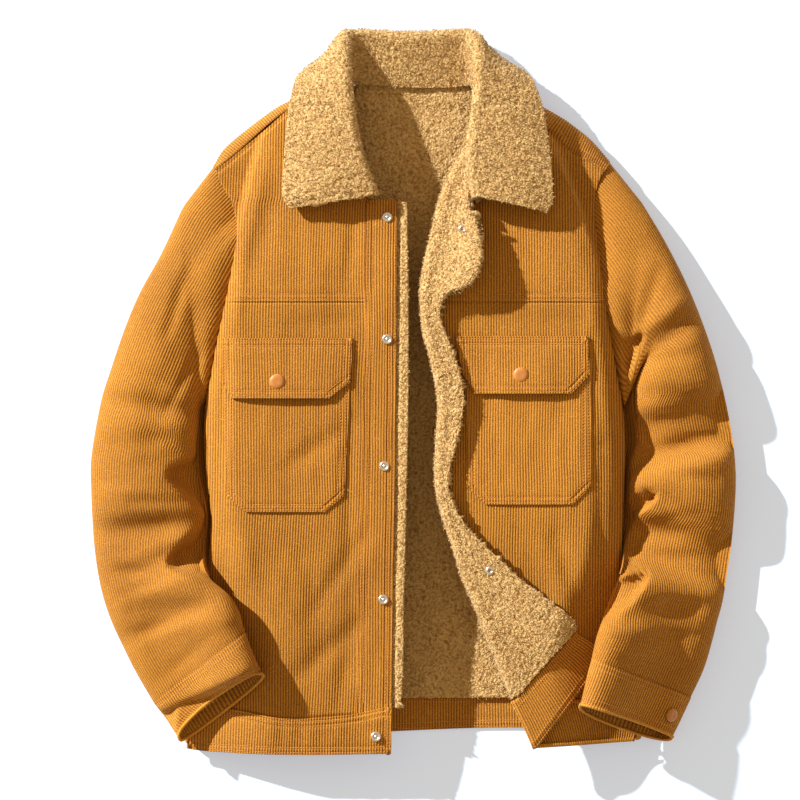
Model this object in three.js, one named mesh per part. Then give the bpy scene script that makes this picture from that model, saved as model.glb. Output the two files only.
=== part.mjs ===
import * as THREE from 'three';

// A corduroy jacket lined with sherpa pile, laid on its back with one front turned open.
// Millimetres. +X points to the wearer's left, +Y to the collar, +Z up from the surface.

// Driving sizes: cloth walls, seam gap and fastener sizes.
const CORDUROY = 2;
const BAND_CLOTH = 3;
const PILE = 6;
const FACING_PILE = 7;
const SEAM_GAP = 0.3;
const PLACKET_PROUD = 1;
const PLACKET_WIDTH = 30;
const SNAP_RADIUS = 4.9;
const SNAP_HEIGHT = 2.4;
const CAP_RADIUS = 8.3;
const CAP_HEIGHT = 2.6;
const COLLAR_ROLL_RADIUS = 5;
const SIDE_SEAM_HEIGHT = 12.2;
const YOKE_SEAM_Y = 94;
const BACK_YOKE_SEAM_Y = 80;
const BACK_LINING_BOTTOM_Y = -325;

const RUST = new THREE.MeshStandardMaterial({ color: 0xc87f20, roughness: 0.85, metalness: 0 });
const GOLD = new THREE.MeshStandardMaterial({ color: 0xd08a2c, roughness: 0.85, metalness: 0 });
const SHERPA = new THREE.MeshStandardMaterial({ color: 0xd8b276, roughness: 0.95, metalness: 0 });
const STEEL = new THREE.MeshStandardMaterial({ color: 0xe4e2dc, roughness: 0.3, metalness: 0.9 });
const TONAL = new THREE.MeshStandardMaterial({ color: 0xecae62, roughness: 0.45, metalness: 0.2 });

const jacket = new THREE.Group();
jacket.name = 'sherpa_lined_jacket';

const clamp = (value, low, high) => Math.min(high, Math.max(low, value));
const mix = (a, b, t) => a + (b - a) * t;
const blend = (p, q, t) => p.map((value, i) => mix(value, q[i], t));
const add = (p, q, scale = 1) => p.map((value, i) => value + q[i] * scale);
const span = (count) => Array.from({ length: count + 1 }, (_, i) => i / count);
const smoothstep = (t) => clamp(t, 0, 1) ** 2 * (3 - 2 * clamp(t, 0, 1));

// A smooth curve through the rows of a table, whose first column is the key, in rising order.
function table(rows) {
  const last = rows.length - 1;
  const slope = (i, c) => {
    const before = rows[Math.max(i - 1, 0)];
    const after = rows[Math.min(i + 1, last)];
    return (after[c] - before[c]) / (after[0] - before[0]);
  };
  return (key) => {
    let i = 0;
    while (i < last - 1 && key > rows[i + 1][0]) i += 1;
    const step = rows[i + 1][0] - rows[i][0];
    const t = clamp((key - rows[i][0]) / step, 0, 1);
    const hermite = (_, c) => rows[i][c] * (2 * t ** 3 - 3 * t ** 2 + 1)
      + rows[i + 1][c] * (3 * t ** 2 - 2 * t ** 3)
      + slope(i, c) * step * (t ** 3 - 2 * t ** 2 + t)
      + slope(i + 1, c) * step * (t ** 3 - t ** 2);
    return rows[i].map(hermite);
  };
}

// A seam line through places on the cloth, read by its share of length from 0 to 1.
function seam(places) {
  const points = places.map(([x, y, z = 0]) => new THREE.Vector3(x, y, z));
  const line = new THREE.CatmullRomCurve3(points, false, 'centripetal');
  return (t) => line.getPointAt(clamp(t, 0, 1)).toArray();
}

// A panel's plan between four seams: right and left run downwards, top and bottom across.
function panel(top, bottom, right, left) {
  return (u, v) => {
    const across = blend(top(u), bottom(u), v);
    const down = blend(right(v), left(v), u);
    const corners = blend(blend(top(0), top(1), u), blend(bottom(0), bottom(1), u), v);
    return across.map((value, i) => value + down[i] - corners[i]);
  };
}

// A closed wall of cloth on a grid of places. The cloth lies between two heights, low and
// high, along the grid's own normals. A round wall closes on itself across each row.
function wall(rows, low, high, round = false) {
  const tall = rows.length;
  const wide = rows[0].length;
  const place = (j, i) => {
    const column = round ? (i + wide) % wide : clamp(i, 0, wide - 1);
    return new THREE.Vector3(...rows[clamp(j, 0, tall - 1)][column]);
  };
  const positions = [];
  for (const side of [low, high]) {
    for (let j = 0; j < tall; j += 1) {
      for (let i = 0; i < wide; i += 1) {
        const across = place(j, i + 1).sub(place(j, i - 1));
        const along = place(j + 1, i).sub(place(j - 1, i));
        const normal = across.cross(along).normalize();
        positions.push(...place(j, i).addScaledVector(normal, side).toArray());
      }
    }
  }
  const under = (j, i) => j * wide + (round ? i % wide : i);
  const over = (j, i) => tall * wide + under(j, i);
  const faces = [];
  const quad = (a, b, c, d) => faces.push(a, b, c, a, c, d);
  const columns = round ? wide : wide - 1;
  for (let j = 0; j < tall - 1; j += 1) {
    for (let i = 0; i < columns; i += 1) {
      quad(over(j, i), over(j, i + 1), over(j + 1, i + 1), over(j + 1, i));
      quad(under(j, i), under(j + 1, i), under(j + 1, i + 1), under(j, i + 1));
    }
    if (!round) {
      quad(under(j + 1, 0), under(j, 0), over(j, 0), over(j + 1, 0));
      const end = wide - 1;
      quad(under(j, end), under(j + 1, end), over(j + 1, end), over(j, end));
    }
  }
  for (let i = 0; i < columns; i += 1) {
    const end = tall - 1;
    quad(under(0, i), under(0, i + 1), over(0, i + 1), over(0, i));
    quad(under(end, i + 1), under(end, i), over(end, i), over(end, i + 1));
  }
  const geometry = new THREE.BufferGeometry();
  geometry.setAttribute('position', new THREE.Float32BufferAttribute(positions, 3));
  geometry.setIndex(faces);
  return geometry;
}

function piece(name, geometry, material) {
  const mesh = new THREE.Mesh(geometry, material);
  mesh.name = name;
  jacket.add(mesh);
  return mesh;
}

// Rows run from the top of the picture to its foot, so columns run from +X to -X and the
// grid's normal points up.
const grid = (us, vs, place) => vs.map((v) => us.map((u) => place(1 - u, v)));

// The body as it lies. Columns: y, x of the line where the front drops to the side, height
// of the cloth beyond that line, reach of the rounding inside it, share of it that is a ramp.
const rightSide = table([
  [-390, -243, 15, 95, 1],
  [-310, -237, 15, 95, 1],
  [-260, -231, 15, 85, 1],
  [-220, -224, 15, 65, 0.8],
  [-180, -219, 15, 45, 0.3],
  [-130, -217, 15, 36, 0],
  [-90, -222, 15, 34, 0],
  [-50, -224, 15, 34, 0],
  [-11, -222, 17, 30, 0],
  [48, -212, 27, 24, 0],
  [113, -198, 32, 20, 0],
  [197, -182, 32, 18, 0],
  [277, -160, 28, 16, 0],
  [330, -150, 20, 14, 0],
]);
const leftSide = table([
  [-390, 243, 15, 95, 1],
  [-310, 236, 15, 95, 1],
  [-260, 231, 15, 85, 1],
  [-220, 225, 15, 65, 0.8],
  [-180, 223, 15, 45, 0.3],
  [-114, 225, 15, 36, 0],
  [-59, 227, 15, 34, 0],
  [-11, 223, 17, 30, 0],
  [52, 212, 27, 24, 0],
  [100, 205, 32, 20, 0],
  [165, 190, 32, 18, 0],
  [229, 165, 32, 16, 0],
  [276, 142, 28, 14, 0],
  [330, 130, 20, 14, 0],
]);

// Height of the front's crown above the surface. Columns: y, height.
const crownHeight = table([
  [-390, 38],
  [-330, 45],
  [-225, 51],
  [-118, 54],
  [0, 54],
  [96, 52],
  [200, 44],
  [250, 37],
  [300, 28],
  [330, 20],
]);

// Rise of the front from its side line: a quarter round, or a soft ramp under a sleeve.
function sideRise(distance, reach, ramp) {
  const s = clamp(distance / reach, 0, 1);
  return mix(Math.sqrt(1 - (1 - s) ** 2), smoothstep(s), ramp);
}

// Height of the front's outer face at a place in plan.
function frontHeight(x, y) {
  const [, rightX, rightLow, rightReach, rightRamp] = rightSide(y);
  const [, leftX, leftLow, leftReach, leftRamp] = leftSide(y);
  const low = x < 0 ? rightLow : leftLow;
  const rise = sideRise(x - rightX, rightReach, rightRamp) * sideRise(leftX - x, leftReach, leftRamp);
  return low + (crownHeight(y)[1] - low) * rise;
}

const onFront = ([x, y], lift = 0) => [x, y, frontHeight(x, y) + lift];

// The armhole seams, from the shoulder tip down to the underarm.
const rightArmhole = seam([[-211, 233], [-205, 218], [-195, 201], [-189, 172], [-195, 130], [-203, 90],
  [-212, 48], [-222, -11]]);
const leftArmhole = seam([[202, 230], [196, 216], [193, 193], [196, 165], [202, 123], [206, 90],
  [213, 52], [223, -11]]);
const rightSeam = seam([[-222, -12], [-224, -50], [-222, -90], [-217, -130], [-219, -180], [-224, -220],
  [-231, -260], [-237, -310], [-243, -377]]);
const leftSeam = seam([[223, -12], [227, -59], [225, -114], [223, -180], [225, -220], [231, -260],
  [236, -310], [241, -374]]);

// Where a seam line stands at a given y, found by halving its length.
function atY(line, y) {
  let low = 0;
  let high = 1;
  for (let step = 0; step < 40; step += 1) {
    const middle = (low + high) / 2;
    if (line(middle)[1] > y) low = middle;
    else high = middle;
  }
  return (low + high) / 2;
}
const between = (line, fromY, toY) => (t) => line(mix(atY(line, fromY), atY(line, toY), t));

const dense = [0, 0.02, 0.045, 0.075, 0.11, 0.15, 0.2, 0.28, 0.38, 0.5, 0.62, 0.74, 0.87, 1];
const denseLeft = dense.map((t) => 1 - t).reverse();

// Right front, the one that lies closed: yoke, panel, placket, hem band and pile edge.
const rightNeck = [[-76, 316], [-70, 292], [-63, 258], [-55, 228], [-48, 206]];
const placketInner = seam([[-48, 206], [-50, 198], [-51, 96], [-52, -11], [-54, -118], [-58, -225],
  [-60, -332], [-62, -388]]);
const frontEdge = seam([[-17, 200], [-18, 96], [-19, -11], [-20, -118], [-22, -225], [-23, -332],
  [-24, -386]]);

const rightYokeInner = seam([...rightNeck, [-51, 198], [-52, 150], [-52, YOKE_SEAM_Y]]);
const rightYoke = panel(
  seam([[-211, 233], [-182, 257], [-160, 276], [-135, 297], [-105, 307], [-76, 316]]),
  seam([rightArmhole(atY(rightArmhole, YOKE_SEAM_Y)), [-120, 92.5], [-52, YOKE_SEAM_Y]]),
  between(rightArmhole, 233, YOKE_SEAM_Y),
  rightYokeInner,
);
piece('right_front_yoke', wall(grid(denseLeft, span(9), (u, v) => onFront(rightYoke(u, v))),
  -CORDUROY, 0), GOLD);

const rightPanelSide = seam([[-202, YOKE_SEAM_Y - 0.6], [-212, 48], [-222, -11], [-224, -50], [-222, -90],
  [-217, -130], [-219, -180], [-224, -220], [-231, -260], [-237, -310], [-240, -337]]);
const rightPanel = panel(
  seam([[-202, YOKE_SEAM_Y - 0.6], [-120, 91.9], [-51.4, YOKE_SEAM_Y - 0.6]]),
  seam([[-240, -337], [-185, -343], [-111, -347], [-60.4, -344]]),
  rightPanelSide,
  between(placketInner, YOKE_SEAM_Y - 0.6, -344),
);
// The panel stops short of the placket's seam.
const PLACKET_GAP = 0.8;
const besidePlacket = ([x, y], u) => [x - PLACKET_GAP * u, y];
piece('right_front_panel', wall(
  grid(denseLeft, span(13), (u, v) => onFront(besidePlacket(rightPanel(u, v), u))),
  -CORDUROY, 0), RUST);

piece('right_placket', wall(
  grid(span(2), span(20), (u, v) => onFront(blend(placketInner(0.015 + 0.985 * v), frontEdge(v), u))),
  -CORDUROY, PLACKET_PROUD), GOLD);

const rightHem = panel(
  seam([[-241, -338], [-185, -344], [-111, -348], [-61, -345]]),
  seam([[-243, -379], [-237, -384], [-185, -387], [-111, -389], [-63, -389]]),
  seam([[-241, -338], [-243, -379]]),
  seam([[-61, -345], [-63, -389]]),
);
piece('right_front_hem_band', wall(
  grid(denseLeft, span(3), (u, v) => onFront(rightHem(u, v))), -BAND_CLOTH + 0.5, 0.5), GOLD);

const pileInner = seam([[-45, 200], [-47, 96], [-50, -118], [-56, -340]]);
const pileOuter = seam([[-9, 200], [-8, 96], [-8.5, -11], [-10, -89], [-14, -218], [-17, -320], [-19, -338]]);
// The pile shows past the front edge and rolls up a little there.
function pileEdge(u, v) {
  const place = blend(pileInner(v), pileOuter(v), u);
  const past = place[0] - frontEdge(atY(frontEdge, place[1]))[0] - 2;
  return onFront(place, 3.6 * smoothstep(past / 6) - 4.2);
}
piece('right_front_lining', wall(grid([0, 0.4, 0.75, 0.88, 1], span(20), pileEdge),
  -FACING_PILE + 1, 0), SHERPA);

// Left front, whose edge is turned back over itself. The fold line runs from the neck to the
// hem, and the turned edge lies on the front. Columns: fold x, y, turned edge x, y.
const TURN = [
  [48, 252, 55, 204],
  [37, 232, 65, 181],
  [25, 202, 71, 154],
  [16, 163, 70, 131],
  [8, 127, 60, 112],
  [5, 100, 36, 103],
  [8, 66, 28, 79],
  [16, 31, 43, 38],
  [22, 2, 51, 9],
  [24, -19, 53, -13],
  [22, -54, 48, -46],
  [21, -96, 37, -93],
  [28, -133, 42, -121],
  [39, -166, 60, -149],
  [50, -200, 84, -173],
  [68, -244, 116, -203],
  [81, -278, 142, -223],
  [94, -309, 166, -241],
  [102, -329, 173, -254],
];
const turnStations = TURN.map((_, i) => i / (TURN.length - 1));
const turnTable = table(TURN.map((row, i) => [i / (TURN.length - 1), ...row]));

// Direction across the fold line, towards the cloth that is turned.
function acrossFold(v) {
  const [, ax, ay] = turnTable(clamp(v - 0.01, 0, 1));
  const [, bx, by] = turnTable(clamp(v + 0.01, 0, 1));
  const length = Math.hypot(bx - ax, by - ay);
  return [(ay - by) / length, (bx - ax) / length];
}

// The fold is a half round. Its centre lies NOSE inside the fold line and FOLD_RISE above the
// middle of the front's own wall.
const NOSE = 10.1;
const PILE_ROLL = 6.6;
const PLACKET_ROLL = 1.5;
const FOLD_RISE = 0.5;

// A place on the turned front: roll is its radius about the fold's centre. The station runs
// from -1, under the front, over 0 to 1 round the fold, and on to 2 at the turned edge.
function turnedPlace(v, station, roll, under) {
  const [, fx, fy, wx, wy] = turnTable(v);
  const inward = acrossFold(v);
  const centre = [fx + inward[0] * NOSE, fy + inward[1] * NOSE];
  const middle = frontHeight(...centre) + FOLD_RISE;
  if (station < 0) {
    const place = add(centre, inward, -station * under);
    return [...place, frontHeight(...place) + FOLD_RISE - roll];
  }
  if (station <= 1) {
    const angle = Math.PI * (station - 0.5);
    const place = add(centre, inward, -roll * Math.cos(angle));
    return [...place, middle + roll * Math.sin(angle)];
  }
  const place = blend(centre, [wx, wy], station - 1);
  return [...place, frontHeight(...place) + FOLD_RISE + roll];
}
const foldStations = span(6);
const turnedStations = [1.25, 1.5, 1.75, 2];

const facingStations = [-1, -0.5, ...foldStations, ...turnedStations];
piece('left_front_lining', wall(
  turnStations.map((v) => facingStations.map((s) => turnedPlace(v, s, PILE_ROLL, 26))).reverse(),
  -FACING_PILE / 2, FACING_PILE / 2), SHERPA);

// The placket goes round inside the pile, up to its own width.
function placketRow(v) {
  const [, fx, fy, wx, wy] = turnTable(v);
  const reach = Math.min(0.8, PLACKET_WIDTH / Math.hypot(wx - fx, wy - fy));
  return [...foldStations, 1 + reach / 2, 1 + reach].map((s) => turnedPlace(v, s, PLACKET_ROLL, 0));
}
piece('left_placket', wall(turnStations.map(placketRow).reverse(),
  -CORDUROY / 2, CORDUROY / 2), GOLD);

const foldedEdge = (from, to, back = 0) => (t) => {
  const v = mix(from, to, t);
  const [, fx, fy] = turnTable(v);
  return add([fx, fy], acrossFold(v), NOSE + 1.2 + back);
};
const YOKE_STATION = 5.2 / (TURN.length - 1);
const leftNeck = [[74, 316], [70, 292], [65, 270]];
const leftYokeInner = seam([...leftNeck, ...span(4).map(foldedEdge(0.03, YOKE_STATION, 1))]);
const leftYokeFoot = leftYokeInner(1);
const leftYoke = panel(
  seam([[74, 316], [105, 298], [142, 276], [163, 255], [189, 239], [202, 230]]),
  seam([leftYokeFoot, [100, 93], leftArmhole(atY(leftArmhole, YOKE_SEAM_Y))]),
  leftYokeInner,
  between(leftArmhole, 230, YOKE_SEAM_Y),
);
piece('left_front_yoke', wall(grid(dense, span(9), (u, v) => onFront(leftYoke(u, v))),
  -CORDUROY, 0), GOLD);

const leftPanelTop = foldedEdge(YOKE_STATION + 0.004, 1)(0);
const leftPanelFoot = foldedEdge(YOKE_STATION + 0.004, 1)(1);
const leftPanel = panel(
  seam([leftPanelTop, [100, 91.8], [206, YOKE_SEAM_Y - 1.2]]),
  seam([leftPanelFoot, [170, -328.6], [238, -328]]),
  foldedEdge(YOKE_STATION + 0.004, 1),
  seam([[206, YOKE_SEAM_Y - 1.2], [213, 52], [223, -11], [227, -59], [225, -114], [223, -180], [225, -220],
    [231, -260], [236, -310], [238, -328]]),
);
piece('left_front_panel', wall(grid(dense, span(15), (u, v) => onFront(leftPanel(u, v))),
  -CORDUROY, 0), RUST);

// Left hem band: its front end is turned up with the edge. It lies on the front as one
// doubled band, folded round like the edge above it.
const BAND_ROLL = 4;
const BAND_TURN = [
  [103, -332, 172, -257],
  [108, -342, 177, -262],
  [118, -362, 190, -270],
  [127, -383, 205, -284],
];
const bandTable = table(BAND_TURN.map((row, i) => [i / (BAND_TURN.length - 1), ...row]));
function bandPlace(v, station) {
  const [, fx, fy, wx, wy] = bandTable(v);
  const inward = [0.92, 0.39];
  const centre = add([fx, fy], inward, BAND_ROLL + BAND_CLOTH / 2);
  const rise = BAND_ROLL - BAND_CLOTH / 2;
  if (station <= 0) {
    const side = leftSeam(atY(leftSeam, fy + 2 - 3 * v));
    const place = blend(centre, side, -station);
    return onFront(place, rise - BAND_ROLL);
  }
  if (station <= 1) {
    const angle = Math.PI * (station - 0.5);
    const place = add(centre, inward, -BAND_ROLL * Math.cos(angle));
    return [...place, frontHeight(...centre) + rise + BAND_ROLL * Math.sin(angle)];
  }
  return onFront(blend(centre, [wx, wy], station - 1), rise + BAND_ROLL);
}
const bandStations = [-1, -0.93, -0.85, -0.75, -0.6, -0.4, -0.2, 0, 0.2, 0.4, 0.6, 0.8, 1, 1.3, 1.65, 2];
piece('left_front_hem_band', wall(
  span(4).map((v) => bandStations.map((station) => bandPlace(v, station))).reverse(),
  -BAND_CLOTH / 2, BAND_CLOTH / 2), GOLD);

// Back. Its panels lie flat on the surface and curl up at the sides to the side seams.
const CURL = 14;
function backHeight(x, y) {
  const rightX = rightSide(y)[1];
  const leftX = leftSide(y)[1];
  const inside = clamp(Math.min(x - rightX, leftX - x) / CURL, 0, 1);
  const end = SIDE_SEAM_HEIGHT * smoothstep((-16 - y) / 50);
  return end * (1 - Math.sqrt(1 - (1 - inside) ** 2));
}
const onBack = ([x, y], lift = 0) => [x, y, backHeight(x, y) + lift];
const backColumns = [0, 0.006, 0.014, 0.024, 0.035, 0.2, 0.4, 0.6, 0.8, 0.965, 0.976, 0.986, 0.994, 1];

const rightBackSide = seam([[-203, BACK_YOKE_SEAM_Y - 0.6], [-212, 48], [-222, -11], [-224, -50],
  [-222, -90], [-217, -130], [-219, -180], [-224, -220], [-231, -260], [-237, -310], [-239, -325]]);
const leftBackSide = seam([[206, BACK_YOKE_SEAM_Y - 0.6], [213, 52], [223, -11], [227, -59], [225, -114],
  [223, -180], [225, -220], [231, -260], [236, -310], [238, -325]]);
const backPanel = panel(
  seam([[-203, BACK_YOKE_SEAM_Y - 0.6], [0, BACK_YOKE_SEAM_Y - 0.6], [206, BACK_YOKE_SEAM_Y - 0.6]]),
  seam([[-239, -325], [0, -325], [238, -325]]),
  rightBackSide,
  leftBackSide,
);
piece('back_panel', wall(grid(backColumns, span(9), (u, v) => onBack(backPanel(u, v))),
  0, CORDUROY), RUST);

const backBand = panel(
  seam([[-239, -325.8], [0, -325.8], [238, -325.8]]),
  seam([[-243, -377], [-150, -373], [-20, -365], [115, -361], [180, -367], [241, -373]]),
  seam([[-239, -325.8], [-243, -377]]),
  seam([[238, -325.8], [241, -373]]),
);
const bandCurl = 0.75;
const bandOnBack = ([x, y]) => [x, y, bandCurl * backHeight(x, y)];
piece('back_hem_band', wall(grid(backColumns, span(3), (u, v) => bandOnBack(backBand(u, v))),
  0, BAND_CLOTH), GOLD);

// Back yoke. It reaches over each shoulder to a seam on the front. Columns: ridge x, y,
// front seam x, y, turn over the shoulder in degrees.
const SHOULDERS = [
  [-215, 239, -210, 234, 180],
  [-200, 261, -188, 252, 180],
  [-160, 293, -152, 283.5, 180],
  [-134, 309, -128, 300.5, 180],
  [-105, 319, -102, 309, 180],
  [-80, 326, -80, 317, 170],
  [-68, 326, -68, 320, 90],
  [-50, 325.5, -50, 320, 60],
  [-2, 322.5, -2, 318, 60],
  [34, 322.5, 34, 318, 60],
  [58, 325, 58, 320, 60],
  [68, 326, 68, 320, 90],
  [80, 325, 79, 315, 170],
  [118, 313, 106, 298.5, 180],
  [155, 294, 142, 277, 180],
  [174, 281, 163, 256.5, 180],
  [192, 266, 182, 244.5, 180],
  [211, 244, 203, 231, 180],
];
const shoulderTable = table(SHOULDERS.map((row, i) => [i / (SHOULDERS.length - 1), ...row]));
const YOKE_NOSE = 13;
const SEAM_ALLOWANCE = 1.6;
function shoulderPlace(u, share) {
  const [, gx, gy, fx, fy, turn] = shoulderTable(u);
  const height = frontHeight(fx, fy) * (0.35 + 0.65 * smoothstep((turn - 60) / 120));
  const angle = share * turn * Math.PI / 180;
  const toSeam = Math.hypot(fx - gx, fy - gy);
  const inset = (angle < Math.PI / 2 ? YOKE_NOSE : toSeam - SEAM_ALLOWANCE) * (1 - Math.sin(angle));
  const place = add([gx, gy], [(fx - gx) / toSeam, (fy - gy) / toSeam], inset);
  return [...place, height / 2 * (1 - Math.cos(angle))];
}
const backYoke = panel(
  (u) => shoulderPlace(u, 0).slice(0, 2),
  seam([[-204, BACK_YOKE_SEAM_Y], [0, BACK_YOKE_SEAM_Y], [207, BACK_YOKE_SEAM_Y]]),
  seam([shoulderPlace(0, 0), [-204, 214], [-195, 198], [-189, 172], [-195, 130], [-204, BACK_YOKE_SEAM_Y]]),
  seam([shoulderPlace(1, 0), [196, 214], [193, 193], [196, 165], [202, 123], [207, BACK_YOKE_SEAM_Y]]),
);
const yokeColumns = span(20);
const yokeRows = [
  ...[1, 0.75, 0.5, 0.25].map((v) => yokeColumns.map((u) => [...backYoke(u, v).slice(0, 2), 0])),
  ...span(6).map((share) => yokeColumns.map((u) => shoulderPlace(u, share))),
];
piece('back_yoke', wall(yokeRows, 0, CORDUROY), GOLD);

// Back lining, built where it shows through the open front.
const LINING_LIFT = 2.4;
const NECK_RISE = 2.2;
const backLining = panel(
  seam([[-62, 322.6], [-30, 324.6], [0, 323.4], [34, 323.4], [60, 323]]),
  seam([[-62, BACK_LINING_BOTTOM_Y], [30, BACK_LINING_BOTTOM_Y], [128, BACK_LINING_BOTTOM_Y]]),
  seam([[-62, 322.6], [-66, 230], [-62, 0], [-62, BACK_LINING_BOTTOM_Y]]),
  seam([[60, 323], [84, 240], [70, 100], [60, -60], [90, -200], [128, BACK_LINING_BOTTOM_Y]]),
);
const liftedLining = ([x, y]) => [x, y, LINING_LIFT + NECK_RISE * smoothstep((y - 296) / 18)];
piece('back_lining', wall(
  grid(span(6), span(12), (u, v) => liftedLining(backLining(u, v))),
  0, PILE), SHERPA);

// Sleeves. Columns: outer edge x, y, inner edge x, y, thickness of the sleeve as it lies.
const RIGHT_SLEEVE = [
  [-246, 196, -226, -20, 40],
  [-269, 146, -228, -34, 46],
  [-292, 104, -230, -48, 50],
  [-308, 66, -231, -58, 52],
  [-324, 19, -231, -67, 52],
  [-334, -14, -231, -78, 50],
  [-344, -72, -229, -96, 48],
  [-344, -108, -223, -122, 50],
  [-343, -136, -221, -142, 50],
  [-341, -165, -223, -163, 46],
  [-337, -195, -224, -184, 44],
  [-331, -222, -216, -201, 48],
  [-322, -248, -196, -218, 48],
  [-310, -274, -185, -236, 46],
  [-296, -302, -182, -248, 44],
  [-278.4, -332.4, -179.4, -256.4, 43],
];
const LEFT_SLEEVE = [
  [244, 200, 225, -20, 40],
  [269, 158, 230, -8, 44],
  [294, 108, 242, 24, 48],
  [315, 54, 238, 14, 50],
  [329, 6, 235, -12, 52],
  [340, -48, 239, -54, 52],
  [344, -88, 232, -78, 50],
  [343, -125, 229, -112, 48],
  [339, -168, 234, -137, 46],
  [334, -200, 226, -165, 48],
  [330, -226, 222, -190, 48],
  [324, -248, 210, -219, 48],
  [319, -268, 200, -246, 46],
  [310, -298, 194, -264, 44],
  [296.8, -327, 189.8, -284, 43],
];
const RIGHT_CUFF = [
  [-278, -333, -179, -257, 43],
  [-268, -346, -174, -271, 44],
  [-258, -360, -167, -288, 44],
  [-249, -373, -160, -303, 43],
];
const LEFT_CUFF = [
  [296.5, -328, 189.5, -285, 43],
  [290, -342, 185, -301, 44],
  [283, -357, 181, -318, 44],
  [276, -371, 177, -335, 43],
];

// Soft troughs across the sleeves. Columns: from x, y, to x, y, width, depth.
const CREASES = [
  [-212, 193, -239, 96, 12, 6],
  [-335, -9, -223, -27, 11, 5],
  [-343, -155, -223, -150, 12, 6],
  [-309, -267, -212, -214, 12, 6],
  [242, 59, 299, 96, 11, 5],
  [234, -7, 338, -10, 12, 5],
  [239, -73, 335, -47, 11, 5],
  [250, -106, 325, -151, 12, 7],
  [234, -236, 327, -226, 12, 6],
];

// Deep folds that open at a sleeve's inner edge. Columns: tip x, y, mouth x, y, half width of
// the mouth, depth.
const NOTCHES = [
  [-266, -88, -224, -92, 24, 15],
  [-265, -185, -214, -172, 24, 15],
];
function notchDepth(x, y) {
  let depth = 0;
  for (const [ax, ay, bx, by, mouth, deep] of NOTCHES) {
    const length = Math.hypot(bx - ax, by - ay);
    const t = Math.max(0, ((x - ax) * (bx - ax) + (y - ay) * (by - ay)) / length ** 2);
    const away = Math.hypot(x - mix(ax, bx, t), y - mix(ay, by, t));
    const halfWidth = 3 + mouth * Math.min(t, 1);
    depth = Math.max(depth, deep * smoothstep(3 * t) * Math.exp(-((away / halfWidth) ** 4)));
  }
  return depth;
}
function creaseDepth(x, y) {
  let depth = notchDepth(x, y);
  for (const [ax, ay, bx, by, width, deep] of CREASES) {
    const length = Math.hypot(bx - ax, by - ay);
    const t = clamp(((x - ax) * (bx - ax) + (y - ay) * (by - ay)) / length ** 2, 0, 1);
    const away = Math.hypot(x - mix(ax, bx, t), y - mix(ay, by, t));
    depth += deep * Math.exp(-((away / width) ** 2));
  }
  return depth;
}

// Height of what a sleeve rests on: the surface, or the body's side where it lies over it.
function restHeight(x, y) {
  const inside = Math.min(x - rightSide(y)[1], leftSide(y)[1] - x);
  const over = clamp((inside + 24) / 13, 0, 1) * smoothstep((-165 - y) / 30);
  const side = Math.sign(x);
  const turnedBand = side > 0 ? 9 * smoothstep((236 - x) / 20) * smoothstep((-235 - y) / 20) : 0;
  return over * (frontHeight(x - side * 9, y) + 1.5 + turnedBand);
}

const RING = 20;
const ringAngles = span(RING).slice(0, RING).map((t) => 2 * Math.PI * t);
// One ring of a sleeve, from the edge on the +X side over the top to the other and back below.
// The top of a cuff's end draws back and its lower lip comes forward.
function sleeveRing([outerX, outerY, innerX, innerY, thickness], drawn = 0, lip = 0) {
  const outer = [outerX, outerY];
  const inner = [innerX, innerY];
  const innerRest = restHeight(...inner);
  const along = [outerY - innerY, innerX - outerX].map((value) => value * Math.sign(outerX));
  const length = Math.hypot(...along);
  return ringAngles.map((angle) => {
    const q = Math.cos(angle) * Math.sign(outerX);
    const share = (1 - q) / 2;
    let place = blend(outer, inner, share);
    if (Math.sin(angle) > 1e-6) {
      place = add(place, along, -drawn * Math.sin(angle) ** 0.7 / length);
      const line = innerRest * smoothstep((share - 0.2) / 0.8);
      const top = line + thickness * (0.4 + 0.6 * Math.sqrt(1 - Math.abs(q) ** 2.4));
      const lowest = restHeight(...place) + thickness * 0.4;
      return [...place, Math.max(top - creaseDepth(...place), lowest)];
    }
    place = add(place, along, lip * Math.abs(Math.sin(angle)) ** 0.7 / length);
    const under = thickness * 0.4 * (1 - Math.sqrt(Math.max(0, 1 - Math.abs(q) ** 5)));
    return [...place, restHeight(...place) + under];
  });
}

// The sleeve's first ring follows the armhole seam, front and back.
function armholeRing(armhole, side) {
  return ringAngles.map((angle) => {
    const q = Math.cos(angle) * side;
    const share = (1 - q) / 2;
    const [x, y] = armhole(share);
    const place = [x + side * 2.8, y];
    const end = mix(14, 8, share);
    if (Math.sin(angle) > 1e-6) {
      const rise = (1 - Math.abs(q) ** 8) ** 0.5;
      return [...place, mix(end, frontHeight(x, y) - 1, rise)];
    }
    return [...place, end * (1 - (1 - Math.min(1, Math.abs(q) ** 5)) ** 0.5)];
  });
}
const sleeves = [
  ['right_sleeve', RIGHT_SLEEVE, rightArmhole, -1],
  ['left_sleeve', LEFT_SLEEVE, leftArmhole, 1],
];
for (const [name, rows, armhole, side] of sleeves) {
  const rings = [armholeRing(armhole, side), ...rows.map((row) => sleeveRing(row))];
  piece(name, wall(rings, -CORDUROY, 0, true), RUST);
}
// Columns: name, table, how far the top draws back, how far the lower lip comes forward.
const cuffs = [
  ['right_cuff', RIGHT_CUFF, 13, 5],
  ['left_cuff', LEFT_CUFF, 4, 9],
];
for (const [name, rows, drawn, lip] of cuffs) {
  const open = (i) => (i / (rows.length - 1)) ** 1.5;
  const rings = rows.map((row, i) => sleeveRing(row, drawn * open(i), lip * open(i)));
  piece(name, wall(rings, -BAND_CLOTH, 0, true), GOLD);
}

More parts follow.
